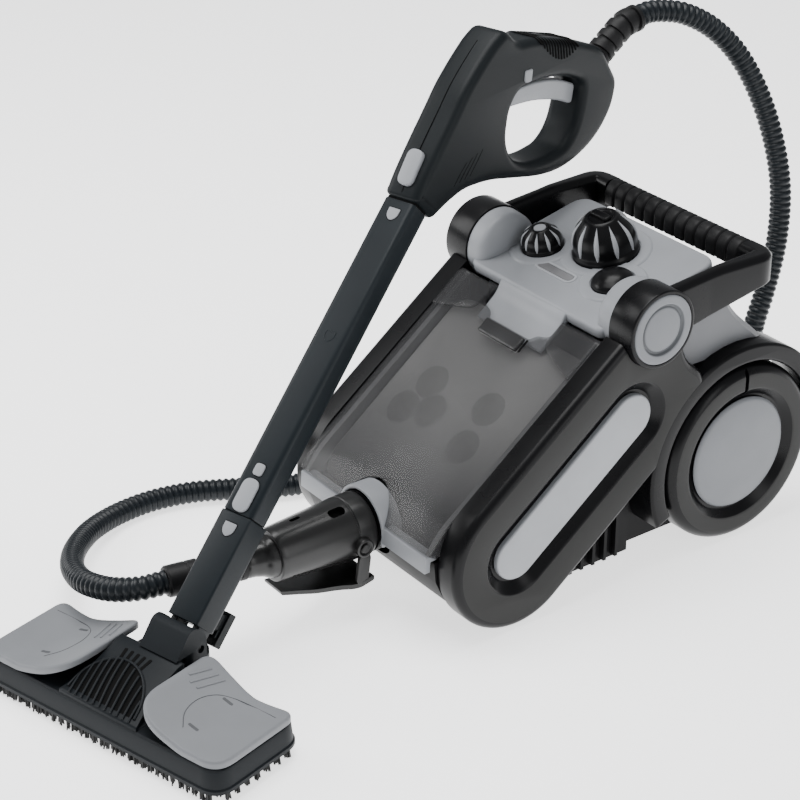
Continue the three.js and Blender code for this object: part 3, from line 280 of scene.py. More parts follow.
def slab(name, place, outer, levels, look, holes=(), pockets=(), face_look=None, smooth=32):
    """An outline through (height, inset) levels from bottom to top, with holes through it and pockets on top.

    A pocket is (loop, levels downwards). face_look is the finish of the flat top."""
    outer = counter_clockwise(list(outer))
    holes = [counter_clockwise(list(h)) for h in holes]
    pockets = [(counter_clockwise(list(loop)), down) for loop, down in pockets]
    verts, faces, slots, flat_at = [], [], [], []

    def ring(loop, height):
        first = len(verts)
        verts.extend(place @ Vector((p.x, p.y, height)) for p in loop)
        flat_at.extend(Vector((p.x, p.y, 0)) for p in loop)
        return list(range(first, len(verts)))

    def walls(rings):
        for a, b in zip(rings, rings[1:]):
            faces.extend(between(a, b))
            slots.extend([0] * len(a))

    def cap(loops, slot):
        ids = [i for loop in loops for i in loop]
        flat = [[flat_at[i] for i in loop] for loop in loops]
        for triangle in tessellate_polygon(flat):
            faces.append(tuple(ids[i] for i in triangle))
            slots.append(slot)

    outer_rings = [ring(inset(outer, d), h) for h, d in levels]
    hole_rings = [[ring(inset(hole, -d), h) for h, d in levels] for hole in holes]
    for rings in [outer_rings, *hole_rings]:
        walls(rings)
    pocket_tops = []
    for loop, down in pockets:
        rings = [ring(inset(loop, d), h) for h, d in down]
        walls(rings)
        cap([rings[-1]], 0)
        pocket_tops.append(rings[0])
    cap([outer_rings[0]] + [r[0] for r in hole_rings], 0)
    cap([outer_rings[-1]] + [r[-1] for r in hole_rings] + pocket_tops, 1 if face_look else 0)
    return new_object(name, verts, faces, [look, face_look or look], slots, smooth)


def rounding(low, high, low_radius=0.0, high_radius=0.0, count=4):
    """Levels of a slab between two heights, with rounded lower and upper edges."""
    levels = []
    for k in range(count + 1 if low_radius else 1):
        turn = math.pi / 2 * k / count
        levels.append((low + low_radius * (1 - math.cos(turn)), low_radius * (1 - math.sin(turn))))
    for k in range(count + 1 if high_radius else 1):
        turn = math.pi / 2 * (1 - k / count)
        levels.append((high - high_radius * (1 - math.cos(turn)), high_radius * (1 - math.sin(turn))))
    return levels


def prism(name, place, loop, low, high, look):
    """A slab with sharp edges, between two heights."""
    return slab(name, place, loop, [(low, 0), (high, 0)], look)


def cutter(place, loop, low, high, look):
    """A tool for carve. The cut faces take its finish."""
    return prism("tool", place, loop, low, high, look)


def shift(x, y, z):
    return Matrix.Translation((x, y, z))


def spun(axis, angle):
    return Matrix.Rotation(angle, 4, axis)


def turned(name, place, profile, look, segments=96, looks=None, bands=None):
    """A turned piece about +Z from (radius, height) points. bands gives each stretch's finish in looks."""
    verts, faces, slots = [], [], []
    for radius, height in profile:
        for k in range(segments):
            turn = 2 * math.pi * k / segments
            verts.append(place @ Vector((radius * math.cos(turn), radius * math.sin(turn), height)))
    for i in range(len(profile) - 1):
        for k in range(segments):
            a, b = i * segments + k, i * segments + (k + 1) % segments
            faces.append((a, b, b + segments, a + segments))
            slots.append(bands(profile[i], profile[i + 1]) if bands else 0)
    return new_object(name, verts, faces, looks or [look], slots)


def spline(points, per_span=16):
    """A centripetal curve through points."""
    p = [Vector(q) for q in points]
    p = [2 * p[0] - p[1], *p, 2 * p[-1] - p[-2]]
    curve = []
    for a, b, c, d in zip(p, p[1:], p[2:], p[3:]):
        da, db, dc = (b - a).length ** 0.5, (c - b).length ** 0.5, (d - c).length ** 0.5
        leave = ((b - a) / da - (c - a) / (da + db) + (c - b) / db) * db
        arrive = ((c - b) / db - (d - b) / (db + dc) + (d - c) / dc) * db
        for k in range(per_span):
            t = k / per_span
            h1, h2 = 2 * t**3 - 3 * t**2 + 1, t**3 - 2 * t**2 + t
            h3, h4 = -2 * t**3 + 3 * t**2, t**3 - t**2
            curve.append(h1 * b + h2 * leave + h3 * c + h4 * arrive)
    return [*curve, p[-2]]


def spaced(points, step):
    """The line again, in equal steps of about this length, and its whole length."""
    ends = [0.0]
    for a, b in zip(points, points[1:]):
        ends.append(ends[-1] + (b - a).length)
    count = max(2, round(ends[-1] / step))
    even, i = [], 0
    for k in range(count + 1):
        want = ends[-1] * k / count
        while i < len(points) - 2 and ends[i + 1] < want:
            i += 1
        share = (want - ends[i]) / max(1e-9, ends[i + 1] - ends[i])
        even.append(points[i].lerp(points[i + 1], share))
    return even, ends[-1]


def swept(name, place, path, section, look, smooth=40, up=(0, 0, 1)):
    """A tube along path. section(distance) gives its ring as (across, up) points."""
    verts, faces = [], []
    ahead = (path[1] - path[0]).normalized()
    side = ahead.cross(Vector(up)).normalized()
    travelled, rings = 0.0, []
    for i, at in enumerate(path):
        heading = (path[min(i + 1, len(path) - 1)] - path[max(i - 1, 0)]).normalized()
        side = (side - heading * side.dot(heading)).normalized()
        rise = side.cross(heading)
        if i:
            travelled += (at - path[i - 1]).length
        ring = section(travelled)
        rings.append(list(range(len(verts), len(verts) + len(ring))))
        verts.extend(place @ (at + side * u + rise * v) for u, v in ring)
    for a, b in zip(rings, rings[1:]):
        faces.extend(between(a, b))
    faces.append(tuple(rings[0]))
    faces.append(tuple(rings[-1]))
    return new_object(name, verts, faces, [look], None, smooth)


def ring_of(radius, sides):
    turns = [2 * math.pi * k / sides for k in range(sides)]
    return [(radius * math.cos(t), radius * math.sin(t)) for t in turns]


def thread(name, place, points, radius, look):
    """A thin round line, such as a seam or a rib."""
    return swept(name, place, spline(points, 8), lambda s: ring_of(radius, 8), look)


def applied(made):
    """Takes the modifiers of a piece into its mesh."""
    depsgraph = bpy.context.evaluated_depsgraph_get()
    made.data = bpy.data.meshes.new_from_object(made.evaluated_get(depsgraph))
    made.modifiers.clear()
    smooth_by_angle(made.data, 32)
    return made


def bevelled(made, width, angle):
    """Adds a bevel of this width in millimetres to the edges that are sharper than the angle."""
    bevel = made.modifiers.new("edges", "BEVEL")
    bevel.width = width / 1000
    bevel.segments = 2
    bevel.limit_method = "ANGLE"
    bevel.angle_limit = angle
    return bevel


def carve(made, *tools):
    """Cuts the tools out of a piece, and removes them."""
    for tool in tools:
        modifier = made.modifiers.new("carve", "BOOLEAN")
        modifier.operation = "DIFFERENCE"
        modifier.solver = "MANIFOLD"
        modifier.material_mode = "TRANSFER"
        modifier.object = tool
    applied(made)
    for tool in tools:
        bpy.data.objects.remove(tool)
    return made


def aimed(start, end):
    """A frame at start whose +Z runs to end."""
    heading = (Vector(end) - Vector(start)).normalized()
    return Matrix.Translation(start) @ Vector((0, 0, 1)).rotation_difference(heading).to_matrix().to_4x4()


SHARP = math.radians(30)  # edges of CAD nodes that are sharper than this stay visible


def dress(node, look, edge=0.0):
    """Finishes a CAD node that is shown as it is, with softened edges of this width in millimetres."""
    shown = frame["nodes"][node]
    shown.data.materials.clear()
    shown.data.materials.append(look)
    with bpy.context.temp_override(object=shown, active_object=shown):
        bpy.ops.mesh.customdata_custom_splitnormals_clear()
    shown.data.polygons.foreach_set("use_smooth", [True] * len(shown.data.polygons))
    weld = shown.modifiers.new("weld", "WELD")
    weld.merge_threshold = 2e-5
    flat = shown.modifiers.new("flat", "DECIMATE")
    flat.decimate_type = "DISSOLVE"
    flat.angle_limit = math.radians(1)
    if edge:
        bevelled(shown, edge, SHARP).harden_normals = True
    else:
        split = shown.modifiers.new("split", "EDGE_SPLIT")
        split.split_angle = SHARP


# ---- camera, light and floor ----
def point(x, y, z):
    """A point given in machine coordinates."""
    return MACHINE @ Vector((x, y, z))


def studio():
    camera_data = bpy.data.cameras.new("camera")
    camera_data.lens = 102.3
    camera = linked("camera", camera_data)
    camera.location = point(1671.9, -1463.6, 1324.1)
    aim = point(-320.6, 0, 9.5) - camera.location
    camera.rotation_euler = aim.to_track_quat("-Z", "Y").to_euler()
    bpy.context.scene.camera = camera

    world = bpy.data.worlds.new("world")
    world.use_nodes = True
    backdrop = world.node_tree.nodes["Background"]
    backdrop.inputs["Color"].default_value = (0.95, 0.97, 1, 1)
    backdrop.inputs["Strength"].default_value = 0.42
    bpy.context.scene.world = world

    def softbox(name, at, towards, size, watts):
        light = bpy.data.lights.new(name, "AREA")
        light.shape = "RECTANGLE"
        light.size, light.size_y = size
        light.energy = watts
        lamp = linked(name, light)
        lamp.location = at
        lamp.rotation_euler = (Vector(towards) - Vector(at)).to_track_quat("-Z", "Y").to_euler()

    softbox("softbox_top", (-0.3, -0.1, 2.3), (0, 0, 0.2), (1.8, 1.4), 68)
    softbox("softbox_left", (-1.9, -1.5, 1.5), (0, 0, 0.25), (1.1, 1.5), 38)
    softbox("softbox_right", (2.2, 0.4, 1.1), (0, 0, 0.2), (0.8, 1.6), 13)

    floor_white = finish("floor_white", (0.86, 0.86, 0.865), 0.75, cloud=0.01)
    shader = floor_white.node_tree.nodes["Principled BSDF"]
    shader.inputs["Emission Color"].default_value = (1, 1, 1, 1)
    shader.inputs["Emission Strength"].default_value = 1.6
    reach, level = 9, -0.0006
    corners = [(-reach, -reach, level), (reach, -reach, level), (reach, reach, level), (-reach, reach, level)]
    new_object("floor", corners, [(0, 1, 2, 3)], [floor_white])


studio()

# ---- hose ----
HOSE_ROUTE = [
    (-20.1, -513.6, 93), (-24.4, -538, 93), (-46, -558, 88), (-86, -566, 78), (-132, -556, 64),
    (-180, -533, 48), (-226, -500, 32), (-262, -462, 20), (-282, -420, 14), (-286, -376, 13),
    (-276, -330, 13), (-256, -290, 13), (-232, -250, 13), (-212, -200, 13), (-198, -120, 13),
    (-192, -40, 13), (-192, 40, 13), (-192, 120, 13), (-190, 200, 13), (-176, 262, 13), (-138, 304, 14),
    (-92, 322, 32), (-60, 326, 76), (-47, 326, 132), (-45, 336, 170), (-44, 348, 232), (-49, 350, 306),
    (-70, 338, 389), (-93.5, 315, 451), (-110.5, 284, 488), (-123, 250, 508), (-131, 228, 513),
    (-135, 209, 514.5), (-135.4, 191, 511.8),
]
BOOT_ROUTE = [
    (-130.8, 128.6, 477.4), (-133, 138, 484.2), (-133.6, 153, 495.5), (-134.6, 171, 507.6),
    (-135.4, 190, 511.5),
]
HOSE_RADIUS = 12.9
RIB_PITCH = 7.4


def hose_and_sleeves():
    path, length = spaced(spline(HOSE_ROUTE), RIB_PITCH / 6)

    def corrugation(travelled):
        wave = 0.5 + 0.5 * math.cos(2 * math.pi * travelled / RIB_PITCH)
        return ring_of(HOSE_RADIUS - 2.1 * (1 - wave**0.6), 24)

    hose = settle(swept("hose_ribbed", MACHINE, path, corrugation, HOSE_SLATE), "hose", "hose")

    boot_path, boot_length = spaced(spline(BOOT_ROUTE), 0.6)

    def boot_ribs(travelled):
        share = (travelled / boot_length * 5 + 0.35) % 1
        return ring_of(15.5 if share < 0.62 else 12.6, 28)

    boot = settle(swept("gun_boot_ribbed", MACHINE, boot_path, boot_ribs, RUBBER), "gun_boot", "gun_boot")

    cuff_profile = [(11, 28.4), (17.5, 28.4)]
    for i in range(5):
        low = 29 + 9.6 * i
        radius = 18 - 0.3 * i
        groove = radius - 2.6
        cuff_profile += [(radius, low), (radius, low + 5.8), (groove, low + 6.4), (groove, low + 9)]
    cuff_profile += [(15.6, 77), (16.4, 78), (16.4, 88), (15.8, 88.6), (15.8, 90), (16.5, 90.6)]
    cuff_profile += [(16.5, 110.5), (15.2, 112.4), (11, 112.4), (11, 28.4)]
    cuff_place = MACHINE @ aimed((0, -402, 93), (-20, -513, 93))
    cuff = turned("hose_cuff_ribbed", cuff_place, cuff_profile, RUBBER, 48)
    settle(cuff, "hose_cuff", "hose_cuff")

    route, _ = spaced(spline(HOSE_ROUTE), 12)


hose_and_sleeves()

# ---- canister ----
PANEL_LOWER, PANEL_UPPER, PANEL_RADIUS = (-190, 85), (-41, 199), 83
DRUM = (-16, 299)


def side_panel_outline():
    heading = math.degrees(math.atan2(PANEL_UPPER[1] - PANEL_LOWER[1], PANEL_UPPER[0] - PANEL_LOWER[0]))
    nose = arc(*PANEL_LOWER, PANEL_RADIUS, heading + 270, heading + 90, 64)
    rise = (PANEL_UPPER[1] - PANEL_LOWER[1]) / (PANEL_UPPER[0] - PANEL_LOWER[0])
    foot = PANEL_LOWER[1] - PANEL_RADIUS * math.hypot(1, rise) + rise * (-2 - PANEL_LOWER[0])
    rest = rounded(
        [
            [nose[-1].x, nose[-1].y],
            [-58, 290, 6], [-16, 300, 6], [24, 268, 8], [33, 244, 14], [62, 220, 20], [40, 140, 10],
            [-2, foot, 2],
        ],
    )
    return nose[:-1] + rest


def side(place, name):
    """The panel, inlay, arch, wheel and drum of one side. place turns right-hand pieces into that side's."""
    panel = slab(
        f"{name}_panel_shell",
        place @ ALONG_X,
        side_panel_outline(),
        rounding(116.3, 146, 0, 9, 6),
        BLACK_GLOSS,
        pockets=[(capsule(PANEL_LOWER, PANEL_UPPER, 43), [(146, 0), (145.6, 1.2), (144, 2.6), (136, 12.5)])],
        face_look=PANEL_GREY,
    )
    carve(
        panel,
        cutter(place @ ALONG_X, circle(WHEEL.y, WHEEL.z, 129.2, 160), 90, 170, BLACK_GLOSS),
        cutter(place @ ALONG_X, circle(*DRUM, 43.8), 90, 170, BLACK_GLOSS),
    )
    settle(panel, f"{name}_side_panel", f"{name}_side_panel")
    inlay = slab(
        f"{name}_inlay_plate",
        place @ ALONG_X,
        capsule(PANEL_LOWER, PANEL_UPPER, 26.5),
        rounding(136.3, 142.5, 0, 2.5),
        SILVER_LIGHT,
    )
    settle(inlay, f"{name}_side_inlay", f"{name}_side_inlay")

    band = arc(WHEEL.y, WHEEL.z, 128.5, -8, 206, 110) + arc(WHEEL.y, WHEEL.z, 108, 206, -8, 110)
    arch = slab(f"{name}_arch_band", place @ ALONG_X, band, rounding(102.3, 143, 0, 4), BLACK_GLOSS)
    settle(arch, f"{name}_wheel_arch", f"{name}_wheel_arch")

    hub_place = place @ shift(0, WHEEL.y, WHEEL.z) @ spun("Y", math.pi / 2)
    outline = [[6.3, 106], [98, 106, 4], [104.5, 113, 5], [104.5, 138, 8], [97, 146, 5]]
    outline += [[78, 146, 2], [69, 137, 2], [6.3, 137]]
    wheel = turned(
        f"{name}_tyre",
        hub_place,
        [*open_line(outline), (6.3, 106)],
        None,
        128,
        looks=[BLACK_GLOSS, WHEEL_GREY],
        bands=lambda a, b: 1 if a[1] > 145.3 and b[1] > 145.3 and a[0] < 96.5 else 0,
    )
    notch_place = place @ shift(0, WHEEL.y, WHEEL.z)
    notch = cutter(notch_place, rectangle(7, 2.5, 0.5, 146, 0), 72, 102, BLACK_GLOSS)
    settle(carve(wheel, notch), f"{name}_wheel", f"{name}_wheel")
    hub_line = [[0, 137.3], [64, 137.3], [66, 139.5, 1], [63, 142.5, 3], [45, 145.4, 10], [0, 147]]
    hub = turned(f"{name}_hub_dome", hub_place, open_line(hub_line), HUB_GREY)
    settle(hub, f"{name}_hub_disc", f"{name}_hub_disc")

    drum_place = place @ shift(0, *DRUM) @ spun("Y", math.pi / 2)
    line = [[0, 119], [43, 119, 1], [43, 155, 4], [39, 155, 0.6], [38.6, 152], [0, 152]]
    drum = turned(f"{name}_drum", drum_place, open_line(line, step=0.8), BLACK_GLOSS)
    settle(drum, "carry_handle")
    line = [[0, 152.3], [38.4, 152.3], [38.4, 155, 1], [36.8, 156, 1], [29, 156, 1], [27, 152.8, 0.6]]
    line += [[25.2, 152.8, 0.6], [23.5, 154.2, 2], [0, 155]]
    disc = turned(
        f"{name}_drum_cap",
        drum_place,
        open_line(line, step=0.6),
        None,
        looks=[HUB_GREY, SILVER_DARK],
        bands=lambda a, b: 1 if 24.6 < a[0] < 28.6 and a[1] < 155.4 else 0,
    )
    settle(disc, f"{name}_drum_disc", f"{name}_drum_disc")


for side_place, side_name in SIDES:
    side(side_place, side_name)


# ---- carry handle ----
def handle():
    """Two arms that rise and bend to the grip at the back, with a softened top edge."""

    def section(at):
        back = min(1, max(0, (at.y - 60) / 90))
        low = 284 + 25 * max(0, (at.y - 40) / 116)
        high = 331 + 8 * min(1, max(0, (at.y + 16) / 90))
        half = 8.5 + 4.5 * back
        flat = half - 5
        upright = high - 5
        corners = [[-half, low, 3], [half, low, 3], [half, upright, 3]]
        corners += [[flat, high, 3], [-flat, high, 3], [-half, upright, 3]]
        return [(p.x, p.y) for p in rounded(corners, step=1)]

    centre = open_line([[135.5, -8], [135.5, 143, 46], [107.3, 143]], step=3)
    path, _ = spaced([Vector((p.x, p.y, 0)) for p in centre], 4)
    for place, name in SIDES:
        along = iter(path)
        arm = swept(f"{name}_handle_arm", place, path, lambda s: section(next(along)), BLACK_GLOSS)
        settle(arm, "carry_handle")
    core = prism("handle_core", SIDE_ON, rectangle(6, 7, 3, 143, 324), -112, 112, BLACK_GLOSS)
    settle(core, "carry_handle", "carry_handle")

    segments = 13
    pitch = 214 / segments
    swell = ((0, 2.6), (0.05, 2.2), (0.1, 0.5), (0.2, 0), (0.5, 0.3), (0.8, 0), (0.9, 0.5), (0.95, 2.2))
    levels = []
    for i in range(segments):
        low = -107 + pitch * i
        levels += [(low + pitch * share, depth) for share, depth in swell]
    levels.append((107, 2.6))
    corners = [[129, 311, 4], [157, 311, 4], [158, 330, 7], [150, 340, 6], [136, 340, 6], [128, 330, 7]]
    loop = rounded(corners, step=1)
    grip = slab("handle_grip_ribbed", SIDE_ON, loop, levels, RUBBER, smooth=50)
    settle(grip, "handle_grip", "handle_grip")


handle()


# ---- control panel ----
# Middles on the deck, across and along it.
WINDOW = (-14, 44)
CAP = (0, 103.6)
DIAL = (-64, 67.7)
BUTTON = (52, 67.7)


def control_panel():
    corners = [[-110, 0, 12], [110, 0, 12], [110, 166, 22], [-110, 166, 22]]
    plate = slab("panel_plate", DECK, rounded(corners), rounding(-13, 0, 2, 4, 5), SILVER)
    settle(plate, "control_panel", "control_panel")
    lip = [[6, -0.4, 1], [-1.4, -2.6, 5], [-10.4, -13.6, 9], [-40, -28.4, 1]]
    lip += [[-39, -32.4, 1], [-6.5, -18, 3], [6, -12.5, 1]]
    apron = slab("panel_apron", DECK @ ALONG_X, rounded(lip), rounding(-54, 54, 2, 2), SILVER)
    settle(apron, "control_panel")
    for place, name in SIDES:
        at = place @ shift(0, *DRUM) @ spun("Y", math.pi / 2)
        line = open_line([[0, 89], [24, 89.6, 10], [39.6, 96, 14], [41, 118.6]])
        shoulder = turned(f"{name}_shoulder", at, [*line, (0, 118.6)], SILVER)
        lower = cutter(DECK, rectangle(220, 130, 1), -120, -27, SILVER)
        settle(carve(shoulder, lower), "control_panel")
    for name, middle, bore in (("cap", CAP, 38), ("dial", DIAL, 25), ("button", BUTTON, 25)):
        corners = [[bore, -1], [bore, 1.6, 0.6], [bore + 10.5, 1.9, 1.2]]
        corners += [[bore + 12.6, 0.1, 0.4], [bore + 13.2, -1]]
        line = open_line(corners, step=0.6)
        seat = turned(f"{name}_seat", DECK @ shift(*middle, 0), [*line, (bore, -1)], SILVER)
        settle(seat, "control_panel")
    rim = rectangle(30, 8.4, 8.4, *WINDOW)
    pill = rectangle(27, 5.6, 5.6, *WINDOW)
    frame_ring = slab("window_rim", DECK, rim, rounding(-1, 1.0, 0, 0.8), SILVER_LIGHT, holes=[pill])
    settle(frame_ring, "control_panel")
    lens = slab("window_lens", DECK, inset(counter_clockwise(pill), 0.3), rounding(-1, 0.9, 0, 0.8), SPECKLED)
    settle(lens, "indicator_window", "indicator_window")


def knob(node, place, radius, height, top, bar):
    """A domed knob with a skirt and ten tapering silver flutes, and a bar or a silver cap on top."""
    line = open_line(
        [
            [0, 0.3], [radius, 0.3, 0.5], [radius, height * 0.1, 1.5], [radius * 0.93, height * 0.2, 2],
            [radius * 0.93, height * 0.42, 4], [radius * 0.84, height * 0.68, 6],
            [top * 1.15, height * 0.96, 5], [top, height, 1.5], [top * 0.84, height, 0.8],
            [top * 0.78, height - 1.6, 0.8], [0, height - 1.6],
        ],
        step=0.8,
    )
    dome = turned(f"{node}_dome", place, line, BLACK_GLOSS)
    settle(dome, node, node)
    skin = [Vector((p.x + 0.1, 0, p.y)) for p in line if height * 0.2 < p.y < height * 0.95 and p.x > top]
    path, span = spaced(skin, height / 22)
    for i in range(10):
        around = place @ spun("Z", 2 * math.pi * (i + 0.5) / 10)

        def blade(travelled):
            """Widest a third of the way up, with pointed ends."""
            share = travelled / span
            width = radius * 0.078 * math.sin(math.pi * min(1, 0.04 + 0.94 * share) ** 0.75)
            return [(width * u, radius * 0.035 * v) for u, v in ring_of(1, 12)]

        flute = swept(f"{node}_flute_{i}", around, path, blade, SILVER_LIGHT, up=(1, 0, 0))
        settle(flute, node, slot="silver")
    if bar:
        levels = rounding(height - 4, height + 3, 0, 1.6)
        settle(slab(f"{node}_bar", place, rectangle(13, 4.6, 3), levels, BLACK_GLOSS), node)
    else:
        low = height - 2
        line = [(0, low), (top * 0.7, low), (top * 0.66, height - 0.6), (0, height - 0.1)]
        settle(turned(f"{node}_top", place, line, SILVER_LIGHT), node, slot="silver")


def power_button():
    corners = [[0, -5.5], [24, -5.5], [24, 2, 2], [21.5, 6, 6], [11, 13, 12], [0, 14]]
    line = open_line(corners, step=0.8)
    dome = turned("power_dome", DECK @ shift(*BUTTON, 0), line, BLACK_GLOSS)
    settle(dome, "power_button", "power_button")


control_panel()
knob("boiler_cap", DECK @ shift(*CAP, 0), 37, 45, 17, True)
knob("steam_dial", DECK @ shift(*DIAL, 0), 24, 25, 10, False)
power_button()


# ---- front cover, tank and trim ----
COVER_LINE = [(-66, 283), (-222, 163), (-268, 128), (-285, 106)]
COVER_ROUND = [0, 60, 26, 0]
COVER_LEAN = [(0.61, -0.79), (0.61, -0.79), (0.86, -0.5), (0.86, -0.5)]


def cover_line(depth):
    bends = zip(COVER_LINE, COVER_LEAN, COVER_ROUND)
    corners = [[y + depth * ly, z + depth * lz, bend] for (y, z), (ly, lz), bend in bends]
    return open_line(corners, step=4)


def cover_band(outer, inner):
    return cover_line(outer) + cover_line(inner)[::-1]


def front_cover():
    half = 115.7
    skin = slab("cover_skin", SIDE_ON, cover_band(0, 3), rounding(-half, half, 1, 1), SMOKY)
    notch = [[-56, 40], [56, 40], [56, -22, 14], [40, -26, 10], [34, -34, 3]]
    notch += [[-34, -34, 3], [-40, -26, 10], [-56, -22, 14]]
    slope = MACHINE @ shift(0, -66, 283) @ spun("X", math.atan2(120, 156))
    carve(
        skin,
        cutter(slope, rounded(notch), -30, 30, SMOKY),
        cutter(slope, rectangle(31.8, 9, 2, 0, -44.5), -6, 6, SMOKY),
        cutter(FRONT_ON, circle(0, 93, 42), 230, 330, SMOKY),
    )
    settle(skin, "front_cover", "front_cover")
    ear = [[57.5, -3, 3], [114.5, -3, 3], [114.5, -52, 3], [57.5, -34, 12]]
    liner = counter_clockwise([*cover_line(5), Vector((-262, 97)), Vector((-52, 97))])
    for sign, name in ((1, "right"), (-1, "left")):
        levels = rounding(*sorted((sign * 112.7, sign * 115.7)))
        edge = slab(f"{name}_cover_edge", SIDE_ON, cover_band(3.1, 13), levels, SMOKY_EDGE)
        settle(edge, "front_cover")
        outline = rounded([[sign * x, along, radius] for x, along, radius in ear])
        settle(slab(f"{name}_cover_ear", slope, outline, rounding(0.1, 3.2, 0, 1.2), SMOKY), "front_cover")
        depth = sorted((sign * 105, sign * 111.8))
        settle(prism(f"{name}_tank_wall", SIDE_ON, liner, *depth, LINER_GREY), "base_pan")
    tab = slab("cover_tab", slope, rectangle(31, 8.5, 2, 0, -44.5), rounding(0.3, 4.8, 0, 1.6), SMOKY_TAB)
    settle(tab, "cover_latch", "cover_latch")
    # Thin near-black strips on the skin beside the tab: painted shadow in the gaps at its sides.
    for sign, name in ((1, "right"), (-1, "left")):
        shadow_strip = rectangle(1.3, 8, 0.8, sign * 33.6, -43.5)
        settle(prism(f"{name}_latch_gap_shadow", slope, shadow_strip, 0.05, 0.3, VOID_BLACK), "front_cover")


def tank():
    """The tank, with five round dimples in its slope; painted shade makes it darker towards the bottom and darker
    in the dimples.
    """
    corners = [[-80, 258, 20], [-222, 148, 50], [-256, 120, 20], [-262, 99, 2], [-47, 99, 8], [-47, 240, 20]]
    levels = rounding(-104, 104, 8, 8, 5)
    # The shell's finish holds painted shade: darker towards its bottom.
    body = slab("tank_shell", SIDE_ON, rounded(corners, step=4), levels, TANK_GREY_PAINTED_SHADE)
    radius, depth = 38, 6
    turns = [a / 16 * math.pi for a in range(1, 16)]
    ball = [(0.0, -radius), *[(radius * math.sin(a), -radius * math.cos(a)) for a in turns], (0.0, radius)]
    slope = MACHINE @ shift(0, -151, 203) @ spun("X", math.atan2(110, 142))
    tools = [cutter(FRONT_ON, circle(0, 93, 37), 200, 330, TANK_GREY_PAINTED_SHADE)]
    # The dimple bowls take a darker finish through the carve: painted shade.
    for x, along in ((-48, -8), (42, -2), (-22, -36), (48, -50), (-58, -48)):
        tools.append(turned("tool", slope @ shift(x, along, radius - depth), ball, TANK_DIMPLE_PAINTED_SHADE, 48))
    settle(carve(body, *tools), "water_tank", "water_tank")


def trim():
    """The silver strip under the cover and the collar round the plug."""
    corners = [[-287, 84, 1], [-286, 103, 2], [-272, 103, 1], [-272, 96, 1], [-279, 96, 1], [-280, 84, 1]]
    line = rounded(corners, step=0.6)
    strip = slab("trim_strip", SIDE_ON, line, rounding(-112, 112, 1, 1), SILVER)
    carve(strip, cutter(FRONT_ON, circle(0, 93, 37), 230, 330, SILVER_LIGHT))
    settle(strip, "front_trim", "front_trim")
    start = math.degrees(0.35)
    band = arc(0, 93, 40.6, -start, 180 + start, 60) + arc(0, 93, 36, 180 + start, -start, 60)
    collar = slab("trim_collar", FRONT_ON, band, rounding(262.3, 286.8, 0, 1.8), SILVER)
    settle(collar, "front_trim")


front_cover()
tank()
trim()


# ---- hose plug ----
def plug_barrel():
    """The barrel with its window, slot and seams, and the nose in front of it."""
    front = MACHINE @ shift(0, 0, 93) @ spun("X", math.pi / 2)
    corners = [[0, 288.5], [34, 288.5, 1.5], [35, 294, 2], [35, 309.4, 0.4], [33.9, 310, 0.3]]
    corners += [[33.9, 311, 0.3], [34.8, 311.6, 0.4], [29, 396, 2], [27.8, 402, 2.5], [24, 402]]
    barrel = turned("plug_barrel", front, [*open_line(corners, step=0.6), (0, 402)], PLUG_BLACK)
    nose_place = MACHINE @ aimed((0, -402, 93), (-20, -513, 93))
    corners = [[0, -8], [24, -8], [22.5, 4, 3], [19.5, 9, 4], [17.5, 20, 3], [17.5, 26, 1], [16.5, 28]]
    line = open_line(corners, step=0.8)
    settle(turned("plug_nose", nose_place, [*line, (0, 28)], PLUG_BLACK, 64), "hose_plug")

    def on_barrel(degrees, along, radius):
        """A frame on the barrel's skin, turned to the right from its top: +Z out, +Y to the front."""
        roll = spun("Y", math.radians(degrees))
        return MACHINE @ shift(0, -along, 93) @ roll @ shift(0, 0, radius) @ spun("Z", math.pi)

    window = cutter(on_barrel(22, 326, 33.5), rectangle(5.5, 9.5, 5.5), -7, 4, VOID_BLACK)
    slot = cutter(on_barrel(-4, 368, 30.6), rectangle(2.4, 6, 1.8), -5, 4, VOID_BLACK)
    settle(carve(barrel, window, slot), "hose_plug", "hose_plug")
    for i, degrees in enumerate((-125, 125)):
        swing = math.radians(degrees)
        path = []
        for k in range(1, 13):
            along = 300 + 7.4 * k
            radius = 35 if along < 311 else 34.8 - (along - 311.6) * 5.8 / 84.4
            path.append((radius * math.sin(swing), -along, 93 + radius * math.cos(swing)))
        settle(thread(f"plug_seam_{i}", MACHINE, path, 0.5, VOID_BLACK), "hose_plug")


def plug_lever():
    """The squeeze lever under the barrel, on a boss at each side."""
    corners = [[0, 30], [10.5, 30], [10.5, 41, 1], [8, 41.6, 0.8], [6.6, 39.6, 0.6], [0, 39.6]]
    boss_line = open_line(corners, step=0.5)
    pin_line = [(0, 38), (5, 38), (5, 41.4), (4.4, 42), (0, 42)]
    arm = capsule((-309, 74), (-312, 52), 7.5)
    for place, name in SIDES:
        boss_at = place @ shift(0, -309, 88) @ spun("Y", math.pi / 2)
        settle(turned(f"{name}_lever_boss", boss_at, boss_line, PLUG_BLACK, 48), "hose_plug")
        settle(turned(f"{name}_lever_pin", boss_at, pin_line, PLUG_BLACK, 32), "hose_plug")
        ear = slab(f"{name}_lever_ear", place @ ALONG_X, arm, rounding(36, 40, 0, 1.2), PLUG_BLACK)
        settle(ear, "plug_latch")

    corners = [[-298, 46, 2], [-318, 41.5, 12], [-352, 40, 30], [-398, 51.5, 3]]
    corners += [[-398.5, 56, 1.5], [-352, 45, 30], [-318, 47, 12], [-298, 52, 2]]
    lever = slab("lever_plate", SIDE_ON, rounded(corners), rounding(-41, 41, 1.5, 1.5), PLUG_BLACK)
    corners = [[60, -280], [41.5, -290], [40, -318, 8], [26, -338, 14]]
    corners += [[19, -370, 12], [15, -402], [15, -430], [60, -430]]
    side_cut = rounded(corners)
    tools = [cutter(place, side_cut, 20, 80, PLUG_BLACK) for place, _ in SIDES]
    settle(carve(lever, *tools), "plug_latch", "plug_latch")


plug_barrel()
plug_lever()


